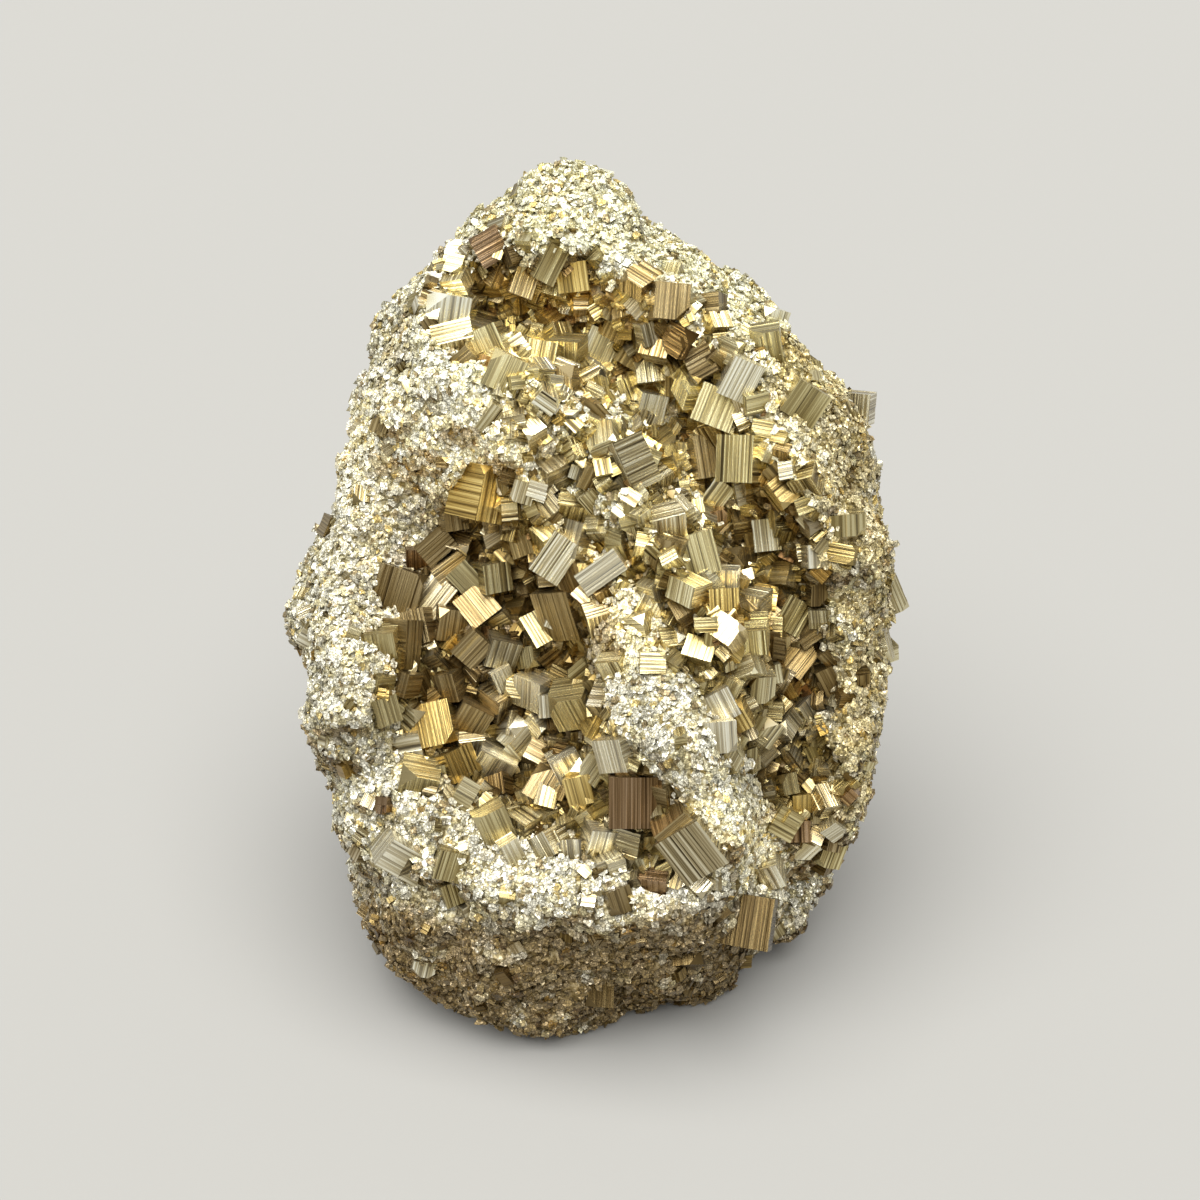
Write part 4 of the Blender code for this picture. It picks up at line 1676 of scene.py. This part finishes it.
@dataclass(frozen=True)
class GranularPyrite:
    """Massive pyrite: an aggregate of grains a millimetre or so across.

    Each broken grain is a small mirror, so that the mass glitters, cream where it faces the
    light and olive-brown where it doesn't.
    """

    name: str = "granular_pyrite"
    facet_mm: float = 0.52
    facet_tilt: float = 0.55
    gap_mm: float = 0.09
    gap_colour: str = "#3E3418"
    stain_mm: float = 14
    stain_shades: Stops = ((0.56, "#FFFFFF"), (0.7, "#CFC09C"))
    strength: float = 0.8  # of the gaps and of the stains
    metallic: float = 0.35  # grain edges too fine to draw scatter the rest of the light
    roughness: float = 0.38

    def make(self) -> bpy.types.Material:
        """Builds the material.

        Returns:
            The material.
        """
        material, tree, shader = new_material(self.name)
        place = add_node(tree, "TexCoord").outputs["Object"]
        colour = add_node(tree, "Attribute", attribute_name=TONE_ATTRIBUTE).outputs["Color"]
        gaps = add_node(
            tree,
            "TexVoronoi",
            {"Scale": 1 / (self.facet_mm * MM)},
            {"Vector": place},
            feature="DISTANCE_TO_EDGE",
        )
        stain = add_node(
            tree,
            "TexNoise",
            {"Scale": 1 / (self.stain_mm * MM), "Detail": 4, "Roughness": 0.65},
            {"Vector": place},
        )
        gap_shades = ((0, self.gap_colour), (self.gap_mm / self.facet_mm, "#FFFFFF"))
        layers = ((gaps.outputs["Distance"], gap_shades), (stain.outputs["Fac"], self.stain_shades))
        for source, shades in layers:
            ramp = add_node(tree, "ValToRGB", links={"Fac": source})
            dimmed = add_node(
                tree,
                "Mix",
                {"Factor": self.strength},
                {"A": colour, "B": set_ramp(ramp, shades)},
                data_type="RGBA",
                blend_type="MULTIPLY",
            )
            colour = dimmed.outputs["Result"]
        values = {"Metallic": self.metallic, "Roughness": self.roughness}
        normals = glittering(tree, self.facet_mm, self.facet_tilt)
        wire(tree, shader, values, {"Base Color": colour, "Normal": normals})
        return material


@dataclass(frozen=True)
class StainedGround:
    """Pyrite ground with iron staining and dirt between the grains: duller and olive-brown."""

    name: str = "stained_ground"
    mottle_mm: float = 1.2
    dirt_shades: Stops = ((0.35, "#786C4C"), (0.5, "#CEC6AC"), (0.62, "#FFFFFF"))
    facet_mm: float = 0.7
    facet_tilt: float = 0.3
    metallic: float = 0.4
    roughness: float = 0.45

    def make(self) -> bpy.types.Material:
        """Builds the material.

        Returns:
            The material.
        """
        material, tree, shader = new_material(self.name)
        place = add_node(tree, "TexCoord").outputs["Object"]
        scale = 1 / (self.mottle_mm * MM)
        mottle = add_node(tree, "TexNoise", {"Scale": scale, "Detail": 4}, {"Vector": place})
        tone = add_node(tree, "Attribute", attribute_name=TONE_ATTRIBUTE)
        dirt = add_node(tree, "ValToRGB", links={"Fac": mottle.outputs["Fac"]})
        soiled = add_node(
            tree,
            "Mix",
            {"Factor": 1},
            {"A": tone.outputs["Color"], "B": set_ramp(dirt, self.dirt_shades)},
            data_type="RGBA",
            blend_type="MULTIPLY",
        )
        values = {"Metallic": self.metallic, "Roughness": self.roughness}
        normals = glittering(tree, self.facet_mm, self.facet_tilt)
        wire(tree, shader, values, {"Base Color": soiled.outputs["Result"], "Normal": normals})
        return material


# Floor, light and camera


@dataclass(frozen=True)
class BroadLight:
    """A soft light too far off to fade across the floor.

    Azimuth 0 is from the front and 90 from the right. The breadth is how wide it looks from
    the stone, in degrees, and the strength is in watts a square metre.
    """

    name: str
    azimuth: float
    elevation: float
    breadth: float
    strength: float
    colour: str

    def hang(self) -> None:
        """Adds the light to the scene."""
        lamp = bpy.data.lights.new(self.name, "SUN")
        lamp.angle = math.radians(self.breadth)
        lamp.energy = self.strength
        lamp.color = linear(self.colour)[:3]
        obj = bpy.data.objects.new(self.name, lamp)
        source = direction(self.azimuth, self.elevation)
        obj.rotation_euler = source.to_track_quat("Z", "Y").to_euler()
        bpy.context.scene.collection.objects.link(obj)


@dataclass(frozen=True)
class Studio:
    """A plain pale floor, soft lights and the camera."""

    lights: tuple[BroadLight, ...] = (BroadLight("overhead", -14, 69, 72, 7.9, "#FFFFFF"),)
    sky: str = "#FFFDF8"
    sky_strength: float = 0.5
    floor_colour: str = "#868581"
    floor_roughness: float = 0.9
    floor_side: float = 8000
    lens_mm: float = 50
    sensor_mm: float = 36
    nearest_mm: float = 10  # nothing nearer to the camera is drawn

    def set_up(self) -> None:
        """Builds the floor, the sky, the lights and the camera."""
        self.lay_floor()
        world = bpy.data.worlds.new("studio")
        world.use_nodes = True
        background = world.node_tree.nodes["Background"]
        sky = {"Color": linear(self.sky), "Strength": self.sky_strength}
        wire(world.node_tree, background, sky, {})
        bpy.context.scene.world = world
        bpy.context.scene.view_settings.view_transform = "Standard"
        for light in self.lights:
            light.hang()
        self.aim_camera()

    def lay_floor(self) -> None:
        """A flat sheet of matt paper, wide enough to fill every view."""
        bm = bmesh.new()
        bmesh.ops.create_grid(bm, x_segments=1, y_segments=1, size=self.floor_side / 2 * MM)
        mesh = bpy.data.meshes.new("floor")
        bm.to_mesh(mesh)
        bm.free()
        material, tree, shader = new_material("matt_paper")
        values = {"Base Color": linear(self.floor_colour), "Roughness": self.floor_roughness}
        wire(tree, shader, values, {})
        mesh.materials.append(material)
        finished(mesh)

    def aim_camera(self) -> None:
        """The camera looks square at the leaning front, down at the slope's own angle."""
        lens = bpy.data.cameras.new("camera")
        lens.lens = self.lens_mm
        lens.sensor_width = self.sensor_mm
        lens.clip_start = self.nearest_mm * MM
        camera = bpy.data.objects.new("camera", lens)
        camera.location = (SLOPE_MIDDLE + OUTWARD * EYE_DISTANCE) * MM
        camera.rotation_euler = (math.pi / 2 - SLOPE_LEAN, 0, 0)
        bpy.context.scene.collection.objects.link(camera)
        bpy.context.scene.camera = camera


def main() -> None:
    """Sets up the studio, then builds the pieces in order and claims each for the stone."""
    logging.basicConfig(level=logging.INFO, format="%(name)s: %(message)s")
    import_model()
    Studio().set_up()
    form = StoneForm()
    body = form.build()
    surface = BVHTree.FromBMesh(body)
    body.free()
    cubes = CubeBed(surface)
    cube_finish = StriatedPyrite()
    claim(cubes.build(cube_finish))
    mass = RoughMass(form).build(StainedGround())
    claim(mass)
    sites = Sites.on(mass, form)
    mid = CubeFill(
        "mid_cubes",
        sites,
        cubes.crowd,
        seed=SEED + 100,
        sizes=(2.9, 5.6),
        share=0.45,
        stray_share=0.0,
        closeness=0.86,
        stand=(-0.25, 0.05),
        prototypes=36,
        striation=Striation(flats=(0.6, 1.8), slopes=(0.07, 0.15)),
    )
    claim(mid.build(cube_finish, surface))
    small = CubeFill(
        "small_cubes",
        sites,
        cubes.crowd,
        seed=SEED + 200,
        sizes=(1.2, 3.2),
        share=0.95,
        stray_share=0.008,
        closeness=0.6,
        stand=(-0.25, 0.15),
        prototypes=32,
    )
    claim(small.build(cube_finish, surface))
    for piece in GrainCoat(sites, cubes.crowd).build(GranularPyrite()):
        claim(piece)


if __name__ == "__main__":
    main()
